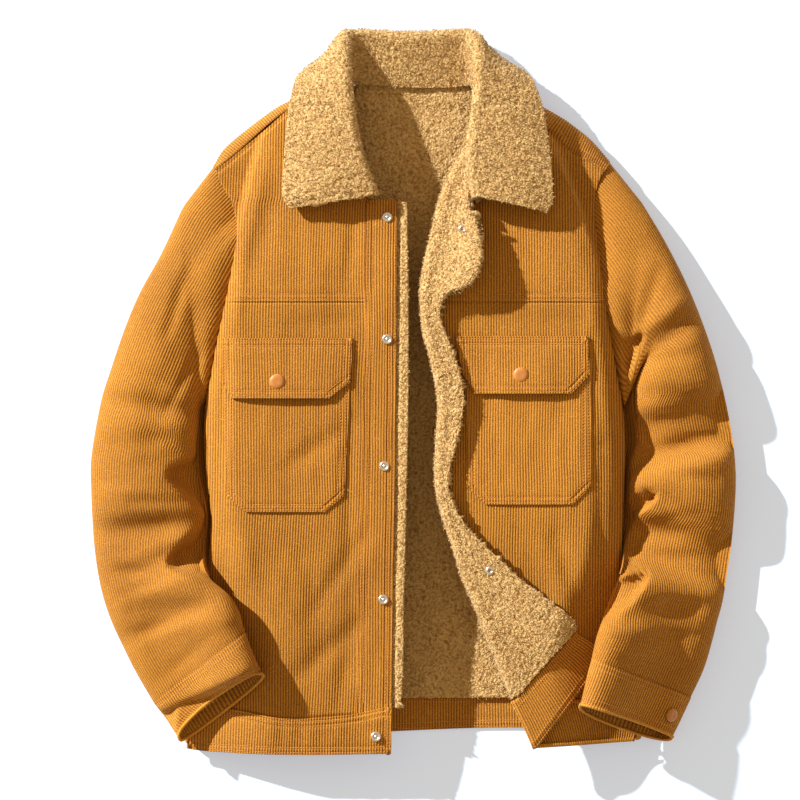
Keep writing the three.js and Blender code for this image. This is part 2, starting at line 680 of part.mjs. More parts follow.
// Collar. Columns: neck seam x, y, z, roll x, y, z, outer edge x, y, z, from the right front
// round the back of the neck to the left front.
const COLLAR = [
  [-44, 204, 44, -39, 207, 54, -121, 190, 49],
  [-51, 219, 46, -50, 230, 57, -136, 209, 48],
  [-59, 246, 44, -59, 258, 57, -137, 241, 46],
  [-68, 278, 40, -65, 289, 54, -134, 278, 42],
  [-73, 305, 34, -69, 321, 48, -130, 310, 36],
  [-73, 319, 26, -72, 353, 40, -121, 334, 24],
  [-67, 326, 16, -73, 377, 28, -102, 342, 11],
  [-55, 327, 10.5, -63, 381, 19, -79, 338, 8],
  [-30, 325.6, 10, -30, 380, 17, -38, 337, 6.8],
  [-2, 324, 10, -2, 379, 16.5, -2, 336, 6.8],
  [34, 324, 10, 30, 380, 17, 36, 337, 6.8],
  [58, 326, 10.5, 58, 381, 19, 73, 338, 8],
  [67, 325, 16, 66, 372, 30, 100, 342, 11],
  [71, 319, 26, 68, 345, 40, 123, 332, 24],
  [68, 300, 34, 67, 318, 48, 135, 305, 36],
  [62, 275, 42, 64, 286, 54, 142, 268, 44],
  [60, 252, 52, 60, 262, 60, 146, 230, 50],
  [60, 230, 55, 60, 240, 62, 146, 206, 51],
  [64, 208, 57, 70, 210, 62, 139, 195, 52],
];
const collarTable = table(COLLAR.map((row, i) => [i / (COLLAR.length - 1), ...row]));
const STAND_END = 0.25;
const ROLL_END = 0.5;
function collarPlace(station, t) {
  const row = collarTable(station).slice(1);
  const [neck, roll, edge] = [0, 3, 6].map((start) => new THREE.Vector3(...row.slice(start, start + 3)));
  const inward = neck.clone().add(edge).multiplyScalar(0.5).sub(roll).normalize();
  const stand = neck.clone().sub(roll);
  const fold = stand.addScaledVector(inward, -stand.dot(inward)).normalize().negate();
  const centre = roll.clone().addScaledVector(inward, COLLAR_ROLL_RADIUS);
  const rollPoint = (angle) => centre.clone()
    .addScaledVector(inward, -COLLAR_ROLL_RADIUS * Math.cos(angle))
    .addScaledVector(fold, COLLAR_ROLL_RADIUS * Math.sin(angle));
  let place;
  if (t < STAND_END) place = neck.clone().lerp(rollPoint(-Math.PI / 2), t / STAND_END);
  else if (t <= ROLL_END) place = rollPoint(Math.PI * ((t - STAND_END) / (ROLL_END - STAND_END) - 0.5));
  else {
    const share = (t - ROLL_END) / (1 - ROLL_END);
    place = rollPoint(Math.PI / 2).lerp(edge, share);
    const onShoulder = frontHeight(place.x, place.y) + 3;
    if (place.y < 300) place.z = Math.max(place.z + 3 * Math.sin(Math.PI * share), onShoulder);
  }
  if (t < STAND_END && place.y < 316) place.z = Math.max(place.z, frontHeight(place.x, place.y) + 0.8);
  return place.toArray();
}
const collarStations = span(2 * (COLLAR.length - 1));
const standSteps = [0, 0.5];
const rollSteps = span(4);
const fallSteps = [0.2, 0.4, 0.6, 0.8, 1];
const collarSteps = [
  ...standSteps.map((t) => t * STAND_END),
  ...rollSteps.map((t) => mix(STAND_END, ROLL_END, t)),
  ...fallSteps.map((t) => mix(ROLL_END, 1, t)),
];
const collarRows = (steps) => steps.map((t) => collarStations.map((s) => collarPlace(s, t)));
piece('collar', wall(collarRows(collarSteps), 0, PILE), SHERPA);
const fallOnly = [0, ...fallSteps].map((t) => mix(ROLL_END, 1, t));
piece('under_collar', wall(collarRows(fallOnly), -SEAM_GAP - CORDUROY, -SEAM_GAP), RUST);

// Chest pockets and flaps, each cut with slanted corners. Columns: y, x of each side.
const pockets = [
  ['right_pocket', 1, 2.6, 0, [
    [49, -203.5, -66.5], [10, -203, -67.5], [-30, -202, -69], [-70, -201, -71], [-112, -200, -73],
    [-130, -179, -94]]],
  ['left_pocket', 0.7, 2.4, 0, [
    [51, 56, 189], [10, 56, 189], [-30, 56, 189], [-65, 56, 189], [-103, 56, 189], [-122, 76, 170]]],
  ['right_pocket_flap', 2.9, 5.2, 2, [
    [55, -204, -65], [33, -204, -65.5], [8, -204, -67], [-9, -194, -89]]],
  ['left_pocket_flap', 2.9, 5.2, 2, [
    [57, 45, 186], [36, 48, 187], [17, 52, 188], [-4, 64, 168]]],
];
const pocketColumns = [0, 0.06, 0.13, 0.22, 0.35, 0.5, 0.65, 0.78, 0.87, 0.94, 1];
for (const [name, low, high, lift, rows] of pockets) {
  const places = rows.map(([y, fromX, toX], j) => pocketColumns.map((u) => (
    onFront([mix(toX, fromX, u), y], lift * (j / (rows.length - 1)) ** 2))));
  piece(name, wall(places, low, high), GOLD);
}

// Snap fasteners: a domed disc on the cloth, level or leaning to a direction.
function snap(name, place, radius, height, material, lean = [0, 0, 1]) {
  const profile = [[0, 0], [radius, 0], [radius, height * 0.45], [radius * 0.7, height], [0, height]];
  const disc = new THREE.LatheGeometry(profile.map(([r, z]) => new THREE.Vector2(r, z)), 12);
  const up = new THREE.Vector3(0, 1, 0);
  const facing = new THREE.Vector3(...lean).normalize();
  disc.applyQuaternion(new THREE.Quaternion().setFromUnitVectors(up, facing));
  const mesh = piece(name, disc, material);
  mesh.position.set(...place);
  return mesh;
}
const SEAT = 0.6;
const studPlaces = [[-28, 184], [-28, 54], [-31, -81], [-32, -223], [-40, -369]];
studPlaces.forEach((place, i) => {
  const seat = onFront(place, PLACKET_PROUD + SEAT);
  snap(`snap_stud_${i + 1}`, seat, SNAP_RADIUS, SNAP_HEIGHT, STEEL);
});
const facingTop = FOLD_RISE + PILE_ROLL + FACING_PILE / 2;
snap('snap_socket_1', onFront([52, 171], facingTop + SEAT), SNAP_RADIUS, SNAP_HEIGHT, STEEL);
snap('snap_socket_2', onFront([81, -192], facingTop + SEAT), SNAP_RADIUS, SNAP_HEIGHT, STEEL);
const flapTop = 5.2;
const CUFF_CAP_RADIUS = 7.4;
const CUFF_CAP_LEAN = [0.6, -0.22, 0.77];
const CUFF_CAP_PLACE = [274.6, -346.2, 36.4];
snap('right_flap_cap', onFront([-145, 9], flapTop + 1.7), CAP_RADIUS, CAP_HEIGHT, TONAL);
snap('left_flap_cap', onFront([114, 16], flapTop + 1.7), CAP_RADIUS, CAP_HEIGHT, TONAL);
snap('left_cuff_cap', CUFF_CAP_PLACE, CUFF_CAP_RADIUS, CAP_HEIGHT, TONAL, CUFF_CAP_LEAN);

export default jacket;
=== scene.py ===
import math
import bmesh
import bpy
import numpy as np
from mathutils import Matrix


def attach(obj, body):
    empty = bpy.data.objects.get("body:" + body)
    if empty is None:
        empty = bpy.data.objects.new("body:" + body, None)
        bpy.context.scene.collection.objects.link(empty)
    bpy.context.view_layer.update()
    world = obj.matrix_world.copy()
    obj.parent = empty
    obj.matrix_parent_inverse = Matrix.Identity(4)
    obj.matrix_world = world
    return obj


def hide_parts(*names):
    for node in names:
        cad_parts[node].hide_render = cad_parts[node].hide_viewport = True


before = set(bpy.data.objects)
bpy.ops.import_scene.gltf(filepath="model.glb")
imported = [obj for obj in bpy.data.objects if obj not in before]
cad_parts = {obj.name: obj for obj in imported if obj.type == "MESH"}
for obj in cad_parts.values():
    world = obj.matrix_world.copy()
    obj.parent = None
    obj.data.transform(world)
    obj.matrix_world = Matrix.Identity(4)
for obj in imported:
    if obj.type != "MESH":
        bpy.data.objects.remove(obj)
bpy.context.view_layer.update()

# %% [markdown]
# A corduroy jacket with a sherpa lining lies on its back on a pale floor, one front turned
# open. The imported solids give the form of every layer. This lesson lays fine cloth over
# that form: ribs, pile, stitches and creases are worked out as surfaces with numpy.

MM = 0.001

# %% [markdown]
# The camera and the light come first. The jacket was seen from straight above through a
# long lens, with a strong light from the upper left, so shadows fall to the lower right.

# %% Camera
FRAME_WIDTH = 856.0
FRAME_CENTRE = (-14.4, -10.7)
CAMERA_HEIGHT = 9000.0
camera_data = bpy.data.cameras.new("camera")
camera_data.sensor_width = 36.0
camera_data.lens = 36.0 * CAMERA_HEIGHT / FRAME_WIDTH
camera_data.clip_end = 20.0
camera = bpy.data.objects.new("camera", camera_data)
camera.location = (FRAME_CENTRE[0] * MM, FRAME_CENTRE[1] * MM, CAMERA_HEIGHT * MM)
bpy.context.scene.collection.objects.link(camera)
bpy.context.scene.camera = camera
print("lens", round(camera_data.lens), "mm")

# %% Lights and floor
def add_sun(name, azimuth, elevation, energy, angle):
    """A sun that shines from azimuth (0 is the foot of the picture, 90 its right)."""
    sun = bpy.data.lights.new(name, "SUN")
    sun.energy = energy
    sun.angle = math.radians(angle)
    item = bpy.data.objects.new(name, sun)
    item.rotation_euler = (math.radians(90 - elevation), 0, math.radians(azimuth))
    bpy.context.scene.collection.objects.link(item)


add_sun("key", -126, 25, 6.9, 1.2)
world = bpy.data.worlds.new("studio")
world.use_nodes = True
world.node_tree.nodes["Background"].inputs["Color"].default_value = (1.0, 0.76, 0.48, 1)
world.node_tree.nodes["Background"].inputs["Strength"].default_value = 0.55
bpy.context.scene.world = world
bpy.context.scene.view_settings.view_transform = "Standard"

floor_mesh = bpy.data.meshes.new("floor")
FLOOR_HALF = 3.0
FLOOR_Z = -0.0004
floor_mesh.from_pydata(
    [(-FLOOR_HALF, -FLOOR_HALF, FLOOR_Z), (FLOOR_HALF, -FLOOR_HALF, FLOOR_Z),
     (FLOOR_HALF, FLOOR_HALF, FLOOR_Z), (-FLOOR_HALF, FLOOR_HALF, FLOOR_Z)],
    [], [(0, 1, 2, 3)])
floor = bpy.data.objects.new("floor", floor_mesh)
bpy.context.scene.collection.objects.link(floor)

# %% [markdown]
# Shader maths reads best as plain sums. A small class wraps a socket and lets Python's own
# operators add the Math nodes; one method of the finish makes any other node.

# %% Shader helpers
class Value:
    """A socket that can be added, multiplied and raised like a number."""

    def __init__(self, finish, socket):
        self.finish = finish
        self.socket = socket

    def maths(self, operation, first, second):
        return self.finish.node("ShaderNodeMath", {"operation": operation}, {0: first, 1: second})

    def __add__(self, other):
        return self.maths("ADD", self, other)

    def __radd__(self, other):
        return self.maths("ADD", other, self)

    def __sub__(self, other):
        return self.maths("SUBTRACT", self, other)

    def __rsub__(self, other):
        return self.maths("SUBTRACT", other, self)

    def __mul__(self, other):
        return self.maths("MULTIPLY", self, other)

    def __rmul__(self, other):
        return self.maths("MULTIPLY", other, self)

    def __truediv__(self, other):
        return self.maths("DIVIDE", self, other)

    def __pow__(self, other):
        return self.maths("POWER", self, other)


class Finish:
    """A material whose nodes are made one call at a time."""

    def __init__(self, name, roughness, metallic=0.0, sheen=0.0, sheen_tint=(1, 1, 1)):
        self.material = bpy.data.materials.new(name)
        self.material.use_nodes = True
        self.tree = self.material.node_tree
        self.shader = self.tree.nodes["Principled BSDF"]
        self.shader.inputs["Roughness"].default_value = roughness
        self.shader.inputs["Metallic"].default_value = metallic
        self.shader.inputs["Sheen Weight"].default_value = sheen
        self.shader.inputs["Sheen Roughness"].default_value = 0.5
        self.shader.inputs["Sheen Tint"].default_value = (*sheen_tint, 1)

    def put(self, socket, value):
        if isinstance(value, Value):
            self.tree.links.new(value.socket, socket)
        else:
            socket.default_value = value

    def node(self, kind, settings=None, inputs=None, output=0):
        made = self.tree.nodes.new(kind)
        for key, value in (settings or {}).items():
            setattr(made, key, value)
        for key, value in (inputs or {}).items():
            self.put(made.inputs[key], value)
        return Value(self, made.outputs[output])

    def blend(self, low, high, share):
        """A colour between low and high."""
        return self.node("ShaderNodeMix", {"data_type": "RGBA"}, {0: share, 6: low, 7: high}, 2)

    def noise(self, scale, detail=2.0, where=None):
        inputs = {"Scale": scale, "Detail": detail}
        if where is not None:
            inputs["Vector"] = where
        return self.node("ShaderNodeTexNoise", None, inputs)

    def bump(self, height, distance, strength=1.0):
        normal = self.node("ShaderNodeBump", None,
                           {"Height": height, "Distance": distance, "Strength": strength})
        self.put(self.shader.inputs["Normal"], normal)

    def paint(self, name, value):
        self.put(self.shader.inputs[name], value)


def rgb(red, green, blue):
    """A display colour, 0 to 255, as linear light."""
    return tuple(((c / 255 + 0.055) / 1.055) ** 2.4 if c > 10 else c / 3295 for c in (red, green, blue)) + (1.0,)


# %% [markdown]
# The floor is a matt white board. The fill light is warm, as light that has bounced off the
# cloth is, so the board is a little cool to stay neutral. A little light of its own keeps
# its shadows as pale as they are in a bright studio.

# %% Floor finish
board = Finish("white_board", 0.9)
grain = board.noise(60.0, where=board.node("ShaderNodeTexCoord", output=3))
board.paint("Base Color", board.blend((0.55, 0.72, 0.93, 1), (0.56, 0.73, 0.94, 1), grain))
board.paint("Emission Color", (0.82, 0.84, 1.0, 1))
board.shader.inputs["Emission Strength"].default_value = 0.4
floor_mesh.materials.append(board.material)

# %% [markdown]
# Corduroy is a cut pile in parallel ribs, the wales. Light catches the round tops and the
# valleys between stay dark and warm, and the colour paints this in as well: painted shade in the
# valleys and painted highlight on the tops. Each piece carries a UV map whose first number counts
# wales and whose second runs along them, so the colour follows the ribs of the mesh.

# %% Corduroy finish
def corduroy(name, ridge, valley, highlight_and_fleck, depth=1.0):
    """Rib colour by the wale's own phase, with painted shade in the valleys, nap streaks of painted highlight on the
    rib tops, fibre flecks and a fine bump.
    """
    cloth = Finish(name, 0.86, sheen=0.12, sheen_tint=(1.0, 0.66, 0.2))
    uv = cloth.node("ShaderNodeUVMap", {"uv_map": "wales"})
    split = cloth.node("ShaderNodeSeparateXYZ", None, {0: uv})
    across = split
    wave = cloth.node("ShaderNodeMath", {"operation": "COSINE"}, {0: across * (2 * math.pi)})
    top = (0.5 - 0.5 * wave) ** 1.1
    stretch = cloth.node("ShaderNodeMapping", None, {"Vector": uv, "Scale": (1.0, 0.6, 1.0)})
    streak = cloth.noise(2.2, 3.0, stretch)
    place = cloth.node("ShaderNodeTexCoord", output=3)
    cloudy = cloth.noise(9.0, 3.0, place)
    fibre = cloth.noise(900.0, 2.0, place)
    patch = cloth.noise(22.0, 2.0, place)
    # Painted shade: the valleys between the wales take the darker valley colour by the wale's phase.
    base = cloth.blend(ridge, valley, (1.0 - top) * (0.62 + 0.6 * patch) * depth)
    # Painted highlight: lighter nap streaks laid only on the rib tops.
    nap = cloth.blend(base, highlight_and_fleck, (streak - 0.5) * 1.2 * top)
    shade = cloth.blend(nap, valley, (0.62 - cloudy) * 0.9)
    bright = cloth.blend(shade, highlight_and_fleck, (fibre - 0.5) * 2.2)
    cloth.paint("Base Color", cloth.blend(bright, valley, (0.5 - fibre) * 2.0))
    cloth.bump(fibre, 0.0009, 0.8)
    return cloth.material


body_corduroy = corduroy("body_corduroy", rgb(204, 138, 27), rgb(108, 59, 2), rgb(230, 168, 60))
sleeve_corduroy = corduroy("sleeve_corduroy", rgb(196, 130, 24), rgb(108, 59, 2), rgb(224, 162, 56), 0.8)
trim_corduroy = corduroy("trim_corduroy", rgb(209, 141, 31), rgb(114, 63, 3), rgb(233, 173, 67))

# %% [markdown]
# Sherpa is a knitted pile brushed into small curls. Its colour paints the light on the curls:
# painted highlight makes the tips pale, and painted shade makes the pits between the curls deep
# and golden. The mesh stores how high each point stands in its curl.

# %% Sherpa finish
LOCKS_PER_METRE = 380.0


def sherpa(name):
    """Colour by the stored height in the curl, broken up by noise: painted shade low in the curl and between the
    locks, painted highlight at the tips.
    """
    pile = Finish(name, 0.95, sheen=0.35, sheen_tint=(1.0, 0.9, 0.7))
    height = pile.node("ShaderNodeAttribute", {"attribute_name": "curl"}, output=2)
    place = pile.node("ShaderNodeTexCoord", output=3)
    fleck = pile.noise(900.0, 2.0, place)
    swirl = pile.node("ShaderNodeTexNoise", None, {"Vector": place, "Scale": 260.0, "Detail": 2.0}, 1)
    bent = pile.node("ShaderNodeVectorMath", {"operation": "MULTIPLY_ADD"},
                     {0: swirl, 1: (0.0045, 0.0045, 0.0045), 2: place})
    lock = pile.node("ShaderNodeTexVoronoi", None, {"Vector": bent, "Scale": LOCKS_PER_METRE})
    crown = 1.0 - lock
    # Painted shade in the pits, rising to painted highlight at the tips, by height in the curl.
    low = pile.blend(rgb(172, 126, 62), rgb(208, 172, 110), height * 0.7 + crown * 0.5)
    tone = pile.blend(low, rgb(238, 210, 150), (height - 0.4) * 0.4 + (crown - 0.5) * 0.7)
    # Painted shade: the dark pit colour along the edges between the locks.
    pile.paint("Base Color", pile.blend(tone, rgb(134, 88, 34), (lock - 0.52) * 1.5))
    pile.bump(crown + 0.3 * fleck, 0.0016, 0.8)
    return pile.material


sherpa_pile = sherpa("sherpa_pile")

# %% Metal, cap and thread finishes
steel = Finish("snap_steel", 0.28, metallic=0.9)
scuffs = steel.noise(700.0, 3.0, steel.node("ShaderNodeTexCoord", output=3))
steel.paint("Base Color", steel.blend(rgb(205, 203, 198), rgb(246, 245, 240), scuffs))
steel.paint("Roughness", 0.2 + 0.2 * scuffs)

tonal = Finish("snap_cap", 0.42)
mottle = tonal.noise(260.0, 3.0, tonal.node("ShaderNodeTexCoord", output=3))
tonal.paint("Base Color", tonal.blend(rgb(180, 114, 52), rgb(200, 134, 70), mottle))
tonal.paint("Roughness", 0.36 + 0.14 * mottle)

thread = Finish("thread", 0.7, sheen=0.2)
twist = thread.noise(900.0, 2.0, thread.node("ShaderNodeTexCoord", output=3))
thread.paint("Base Color", thread.blend(rgb(186, 112, 24), rgb(240, 172, 78), twist))

# %% [markdown]
# The same few curves that shape the solids shape the fine cloth. A table becomes a smooth
# curve through its rows; a seam is a line through places on the cloth.

# %% Curves
def smooth_table(rows):
    """Cubic Hermite curve through the rows; each slope joins the rows on either side."""
    rows = np.array(rows, float)
    keys = rows[:, 0]
    slopes = np.empty_like(rows)
    slopes[1:-1] = (rows[2:] - rows[:-2]) / (keys[2:] - keys[:-2])[:, None]
    slopes[0] = (rows[1] - rows[0]) / (keys[1] - keys[0])
    slopes[-1] = (rows[-1] - rows[-2]) / (keys[-1] - keys[-2])

    def at(key):
        key = np.clip(np.asarray(key, float), keys[0], keys[-1])
        i = np.clip(np.searchsorted(keys, key, side="right") - 1, 0, len(keys) - 2)
        step = (keys[i + 1] - keys[i])[..., None]
        t = (key - keys[i])[..., None] / step
        return (rows[i] * (2 * t**3 - 3 * t**2 + 1) + rows[i + 1] * (3 * t**2 - 2 * t**3)
                + slopes[i] * step * (t**3 - 2 * t**2 + t) + slopes[i + 1] * step * (t**3 - t**2))
    return at


def seam_line(places, samples=24):
    """Centripetal Catmull-Rom line, read by its share of length: x, y and z."""
    p = np.array([list(q) + [0.0] * (3 - len(q)) for q in places], float)
    p = np.vstack([2 * p[0] - p[1], p, 2 * p[-1] - p[-2]])
    d = np.maximum(np.sqrt(np.linalg.norm(np.diff(p, axis=0), axis=1)), 1e-4)[:, None]
    start = (p[1:-2] - p[:-3]) / d[:-2] - (p[2:-1] - p[:-3]) / (d[:-2] + d[1:-1])
    start = (start + (p[2:-1] - p[1:-2]) / d[1:-1]) * d[1:-1]
    end = (p[2:-1] - p[1:-2]) / d[1:-1] - (p[3:] - p[1:-2]) / (d[1:-1] + d[2:])
    end = (end + (p[3:] - p[2:-1]) / d[2:]) * d[1:-1]
    t = np.linspace(0, 1, samples + 1)[:-1, None, None]
    line = (p[1:-2] * (2 * t**3 - 3 * t**2 + 1) + p[2:-1] * (3 * t**2 - 2 * t**3)
            + start * (t**3 - 2 * t**2 + t) + end * (t**3 - t**2))
    line = np.vstack([line.transpose(1, 0, 2).reshape(-1, 3), p[-2:-1]])
    length = np.append(0, np.cumsum(np.linalg.norm(np.diff(line, axis=0), axis=1)))

    def at(share):
        s = np.clip(share, 0, 1) * length[-1]
        return np.stack([np.interp(s, length, line[:, k]) for k in range(3)], -1)
    return at


def smoothstep(t):
    t = np.clip(t, 0, 1)
    return t * t * (3 - 2 * t)


def mix(a, b, t):
    return a + (b - a) * t


# %% [markdown]
# Cloth that lies is never quite smooth. Value noise, summed at two sizes, gives the slow
# swells; named creases give the folds that the eye knows.

# %% Noise and creases
def lattice(seed, size=64):
    return np.random.default_rng(seed).random((size, size))


def soft_noise(a, b, seed):
    """Smooth value noise, about -1 to 1, on a lattice one unit wide."""
    table = lattice(seed)
    i, j = np.floor(a).astype(int), np.floor(b).astype(int)
    s, t = smoothstep(a - i), smoothstep(b - j)
    n = len(table)
    low = mix(table[i % n, j % n], table[(i + 1) % n, j % n], s)
    high = mix(table[i % n, (j + 1) % n], table[(i + 1) % n, (j + 1) % n], s)
    return mix(low, high, t) * 2 - 1


def crease_depth(x, y, creases):
    """Sum of soft troughs; each is a Gaussian of the distance to a short line."""
    depth = np.zeros_like(x)
    for ax, ay, bx, by, width, deep in creases:
        run = (bx - ax) ** 2 + (by - ay) ** 2
        t = np.clip(((x - ax) * (bx - ax) + (y - ay) * (by - ay)) / run, 0, 1)
        away = (x - mix(ax, bx, t)) ** 2 + (y - mix(ay, by, t)) ** 2
        fade = 0.35 + 0.65 * np.sin(math.pi * np.clip(0.08 + 0.84 * t, 0, 1))
        depth += deep * fade * np.exp(-away / width**2)
    return depth


# %% The body's form, as in the solids
# Columns: y, x of the line where the front drops, height beyond it, reach, ramp share.
right_side = smooth_table([
    [-390, -243, 15, 95, 1], [-310, -237, 15, 95, 1], [-260, -231, 15, 85, 1],
    [-220, -224, 15, 65, 0.8], [-180, -219, 15, 45, 0.3], [-130, -217, 15, 36, 0],
    [-90, -222, 15, 34, 0], [-50, -224, 15, 34, 0], [-11, -222, 17, 30, 0],
    [48, -212, 27, 24, 0], [113, -198, 32, 20, 0], [197, -182, 32, 18, 0],
    [277, -160, 28, 16, 0], [330, -150, 20, 14, 0]])
left_side = smooth_table([
    [-390, 243, 15, 95, 1], [-310, 236, 15, 95, 1], [-260, 231, 15, 85, 1],
    [-220, 225, 15, 65, 0.8], [-180, 223, 15, 45, 0.3], [-114, 225, 15, 36, 0],
    [-59, 227, 15, 34, 0], [-11, 223, 17, 30, 0], [52, 212, 27, 24, 0],
    [100, 205, 32, 20, 0], [165, 190, 32, 18, 0], [229, 165, 32, 16, 0],
    [276, 142, 28, 14, 0], [330, 130, 20, 14, 0]])
# Columns: y, height of the front's crown.
crown_height = smooth_table([
    [-390, 38], [-330, 45], [-225, 51], [-118, 54], [0, 54], [96, 52], [200, 44], [250, 37],
    [300, 28], [330, 20]])


def side_rise(distance, reach, ramp):
    """A quarter round from the side line, or a soft ramp under a sleeve."""
    s = np.clip(distance / reach, 0, 1)
    return mix(np.sqrt(1 - (1 - s) ** 2), smoothstep(s), ramp)


def front_height(x, y):
    right, left = right_side(y), left_side(y)
    low = np.where(x < 0, right[..., 2], left[..., 2])
    rise = side_rise(x - right[..., 1], right[..., 3], right[..., 4])
    rise = rise * side_rise(left[..., 1] - x, left[..., 3], left[..., 4])
    return low + (crown_height(y)[..., 1] - low) * rise


# Soft folds of the fronts. Columns: from x, y, to x, y, width, depth.
FRONT_CREASES = [
    [-60, -250, -125, -305, 10, 2.5], [-50, -150, -110, -240, 9, 2], [-72, -40, -140, -84, 10, 1.8],
    [190, 60, 200, -60, 7, 2.5], [150, -160, 190, -260, 10, 2.5],
    [-196, 60, -214, -150, 9, 3.0],
    [-205, -150, -206, -330, 10, 3.0],
    [200, -60, 196, -250, 9, 3.5],
    [-62, 190, -70, 110, 8, 1.6],
    [-150, 210, -175, 120, 14, 2.4],
    [-110, -180, -95, -300, 16, 1.8],
    [-160, -190, -170, -310, 14, 1.6],
    [-66, -30, -70, -190, 7, 1.5],
    [-64, -250, -80, -335, 9, 1.6],
    [120, -160, 150, -300, 16, 2.0],
    [75, 60, 78, -40, 9, 1.4],
    [170, 220, 190, 130, 12, 2.2],
    [95, 215, 120, 130, 16, 1.6],
    [-130, 70, -60, 74, 8, 0.9],
    [60, 76, 180, 72, 8, 0.9],
]


# Where the yokes fold down towards the armholes. Columns: y, x of the fold, drop beyond it.
right_yoke_fold = smooth_table([
    [40, -212, 0], [90, -202, 2], [113, -198, 4], [151, -193, 6], [197, -182, 6.5], [240, -172, 5],
    [277, -160, 2.5], [300, -150, 1]])
left_yoke_fold = smooth_table([
    [60, 206, 0], [99, 205, 3], [123, 202, 4.5], [165, 190, 6.5], [202, 176, 7], [229, 165, 5.5],
    [246, 159, 4.5], [276, 142, 2.5], [300, 130, 1]])


def yoke_drop(x, y):
    """The step down beyond the yoke's fold, with a low crest along it."""
    right, left = right_yoke_fold(y), left_yoke_fold(y)
    past_right, past_left = right[..., 1] - x, x - left[..., 1]
    drop = right[..., 2] * smoothstep((past_right + 2) / 7) + left[..., 2] * smoothstep((past_left + 2) / 7)
    crest = np.exp(-((past_right + 3) / 4) ** 2) * right[..., 2] + np.exp(-((past_left + 3) / 4) ** 2) * left[..., 2]
    return drop - 0.22 * crest


def front_surface(x, y):
    """The front's outer face: its form, less its creases, with slow swells."""
    swell = 0.9 * soft_noise(x / 34 + 9, y / 75 + 5, 3) + 0.35 * soft_noise(x / 11, y / 30, 4)
    inside = np.minimum(x - right_side(y)[..., 1], left_side(y)[..., 1] - x)
    calm = smoothstep(inside / 20)
    return front_height(x, y) - crease_depth(x, y, FRONT_CREASES) * calm + swell * calm - yoke_drop(x, y)


# %% [markdown]
# A piece of corduroy is a grid whose columns run along the wales. Four columns to a wale
# let the mesh itself rise in round ribs. Where a seam cuts the cloth, columns are held at
# the seam, so the ribs end there as they do on cut cloth, and flat leftovers are dropped.

# %% Cloth mesh
PITCH = 2.93
RIB = 0.7
COLUMNS_PER_WALE = 4
TUCK = 5.0
STITCH_ROWS = (2.4, 7.8)


def grid_faces(tall, wide):
    j, i = np.meshgrid(np.arange(tall - 1), np.arange(wide - 1), indexing="ij")
    a = (j * wide + i).ravel()
    return np.stack([a, a + 1, a + wide + 1, a + wide], 1)


def grid_normals(grid):
    """Unit normals of a grid from its neighbours' differences: columns across rows."""
    across = np.gradient(grid, axis=1)
    along = np.gradient(grid, axis=0)
    normal = np.cross(across, along)
    size = np.linalg.norm(normal, axis=-1, keepdims=True)
    return normal / np.maximum(size, 1e-9)


def make_piece(name, grids, material, nodes, uv=None, curl=None):
    """One object from grids of places in millimetres. Grid points that fall together are
    merged and flat faces left out. uv and curl hold one array for each grid."""
    points, faces, uvs, curls, base = [], [], [], [], 0
    for k, grid in enumerate(grids):
        tall, wide = grid.shape[:2]
        points.append(np.maximum(grid, [-999, -999, 0.05]).reshape(-1, 3))
        faces.append(grid_faces(tall, wide) + base)
        base += tall * wide
        uvs.append((uv[k] if uv else np.zeros(grid.shape[:2] + (2,))).reshape(-1, 2))
        curls.append((curl[k] if curl else np.zeros(grid.shape[:2])).ravel())
    points, faces = np.vstack(points), np.vstack(faces)
    uvs, curls = np.vstack(uvs), np.concatenate(curls)
    corner = points[faces]
    area = np.linalg.norm(np.cross(corner[:, 2] - corner[:, 0], corner[:, 3] - corner[:, 1]), axis=1)
    faces = faces[area > 0.02]
    mesh = bpy.data.meshes.new(name)
    mesh.vertices.add(len(points))
    mesh.vertices.foreach_set("co", (points * MM).ravel())
    mesh.loops.add(faces.size)
    mesh.loops.foreach_set("vertex_index", faces.ravel())
    mesh.polygons.add(len(faces))
    mesh.polygons.foreach_set("loop_start", np.arange(len(faces)) * 4)
    mesh.update(calc_edges=True)
    layer = mesh.uv_layers.new(name="wales")
    layer.data.foreach_set("uv", uvs[faces.ravel()].ravel())
    if curl:
        mesh.attributes.new("curl", "FLOAT", "POINT").data.foreach_set("value", curls)
    work = bmesh.new()
    work.from_mesh(mesh)
    bmesh.ops.remove_doubles(work, verts=work.verts, dist=2e-5)
    loose = [v for v in work.verts if not v.link_faces]
    bmesh.ops.delete(work, geom=loose, context="VERTS")
    work.to_mesh(mesh)
    work.free()
    mesh.shade_smooth()
    mesh.materials.append(material)
    item = bpy.data.objects.new(name, mesh)
    bpy.context.scene.collection.objects.link(item)
    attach(item, "root")
    if nodes:
        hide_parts(*nodes)
    print(name, "has", sum(len(p.vertices) - 2 for p in mesh.polygons), "triangles")
    return item


def rib_height(phase):
    """Height of a wale at its phase, 0 in the valley and 1 on top."""
    return np.abs(np.sin(math.pi * phase)) ** 0.8


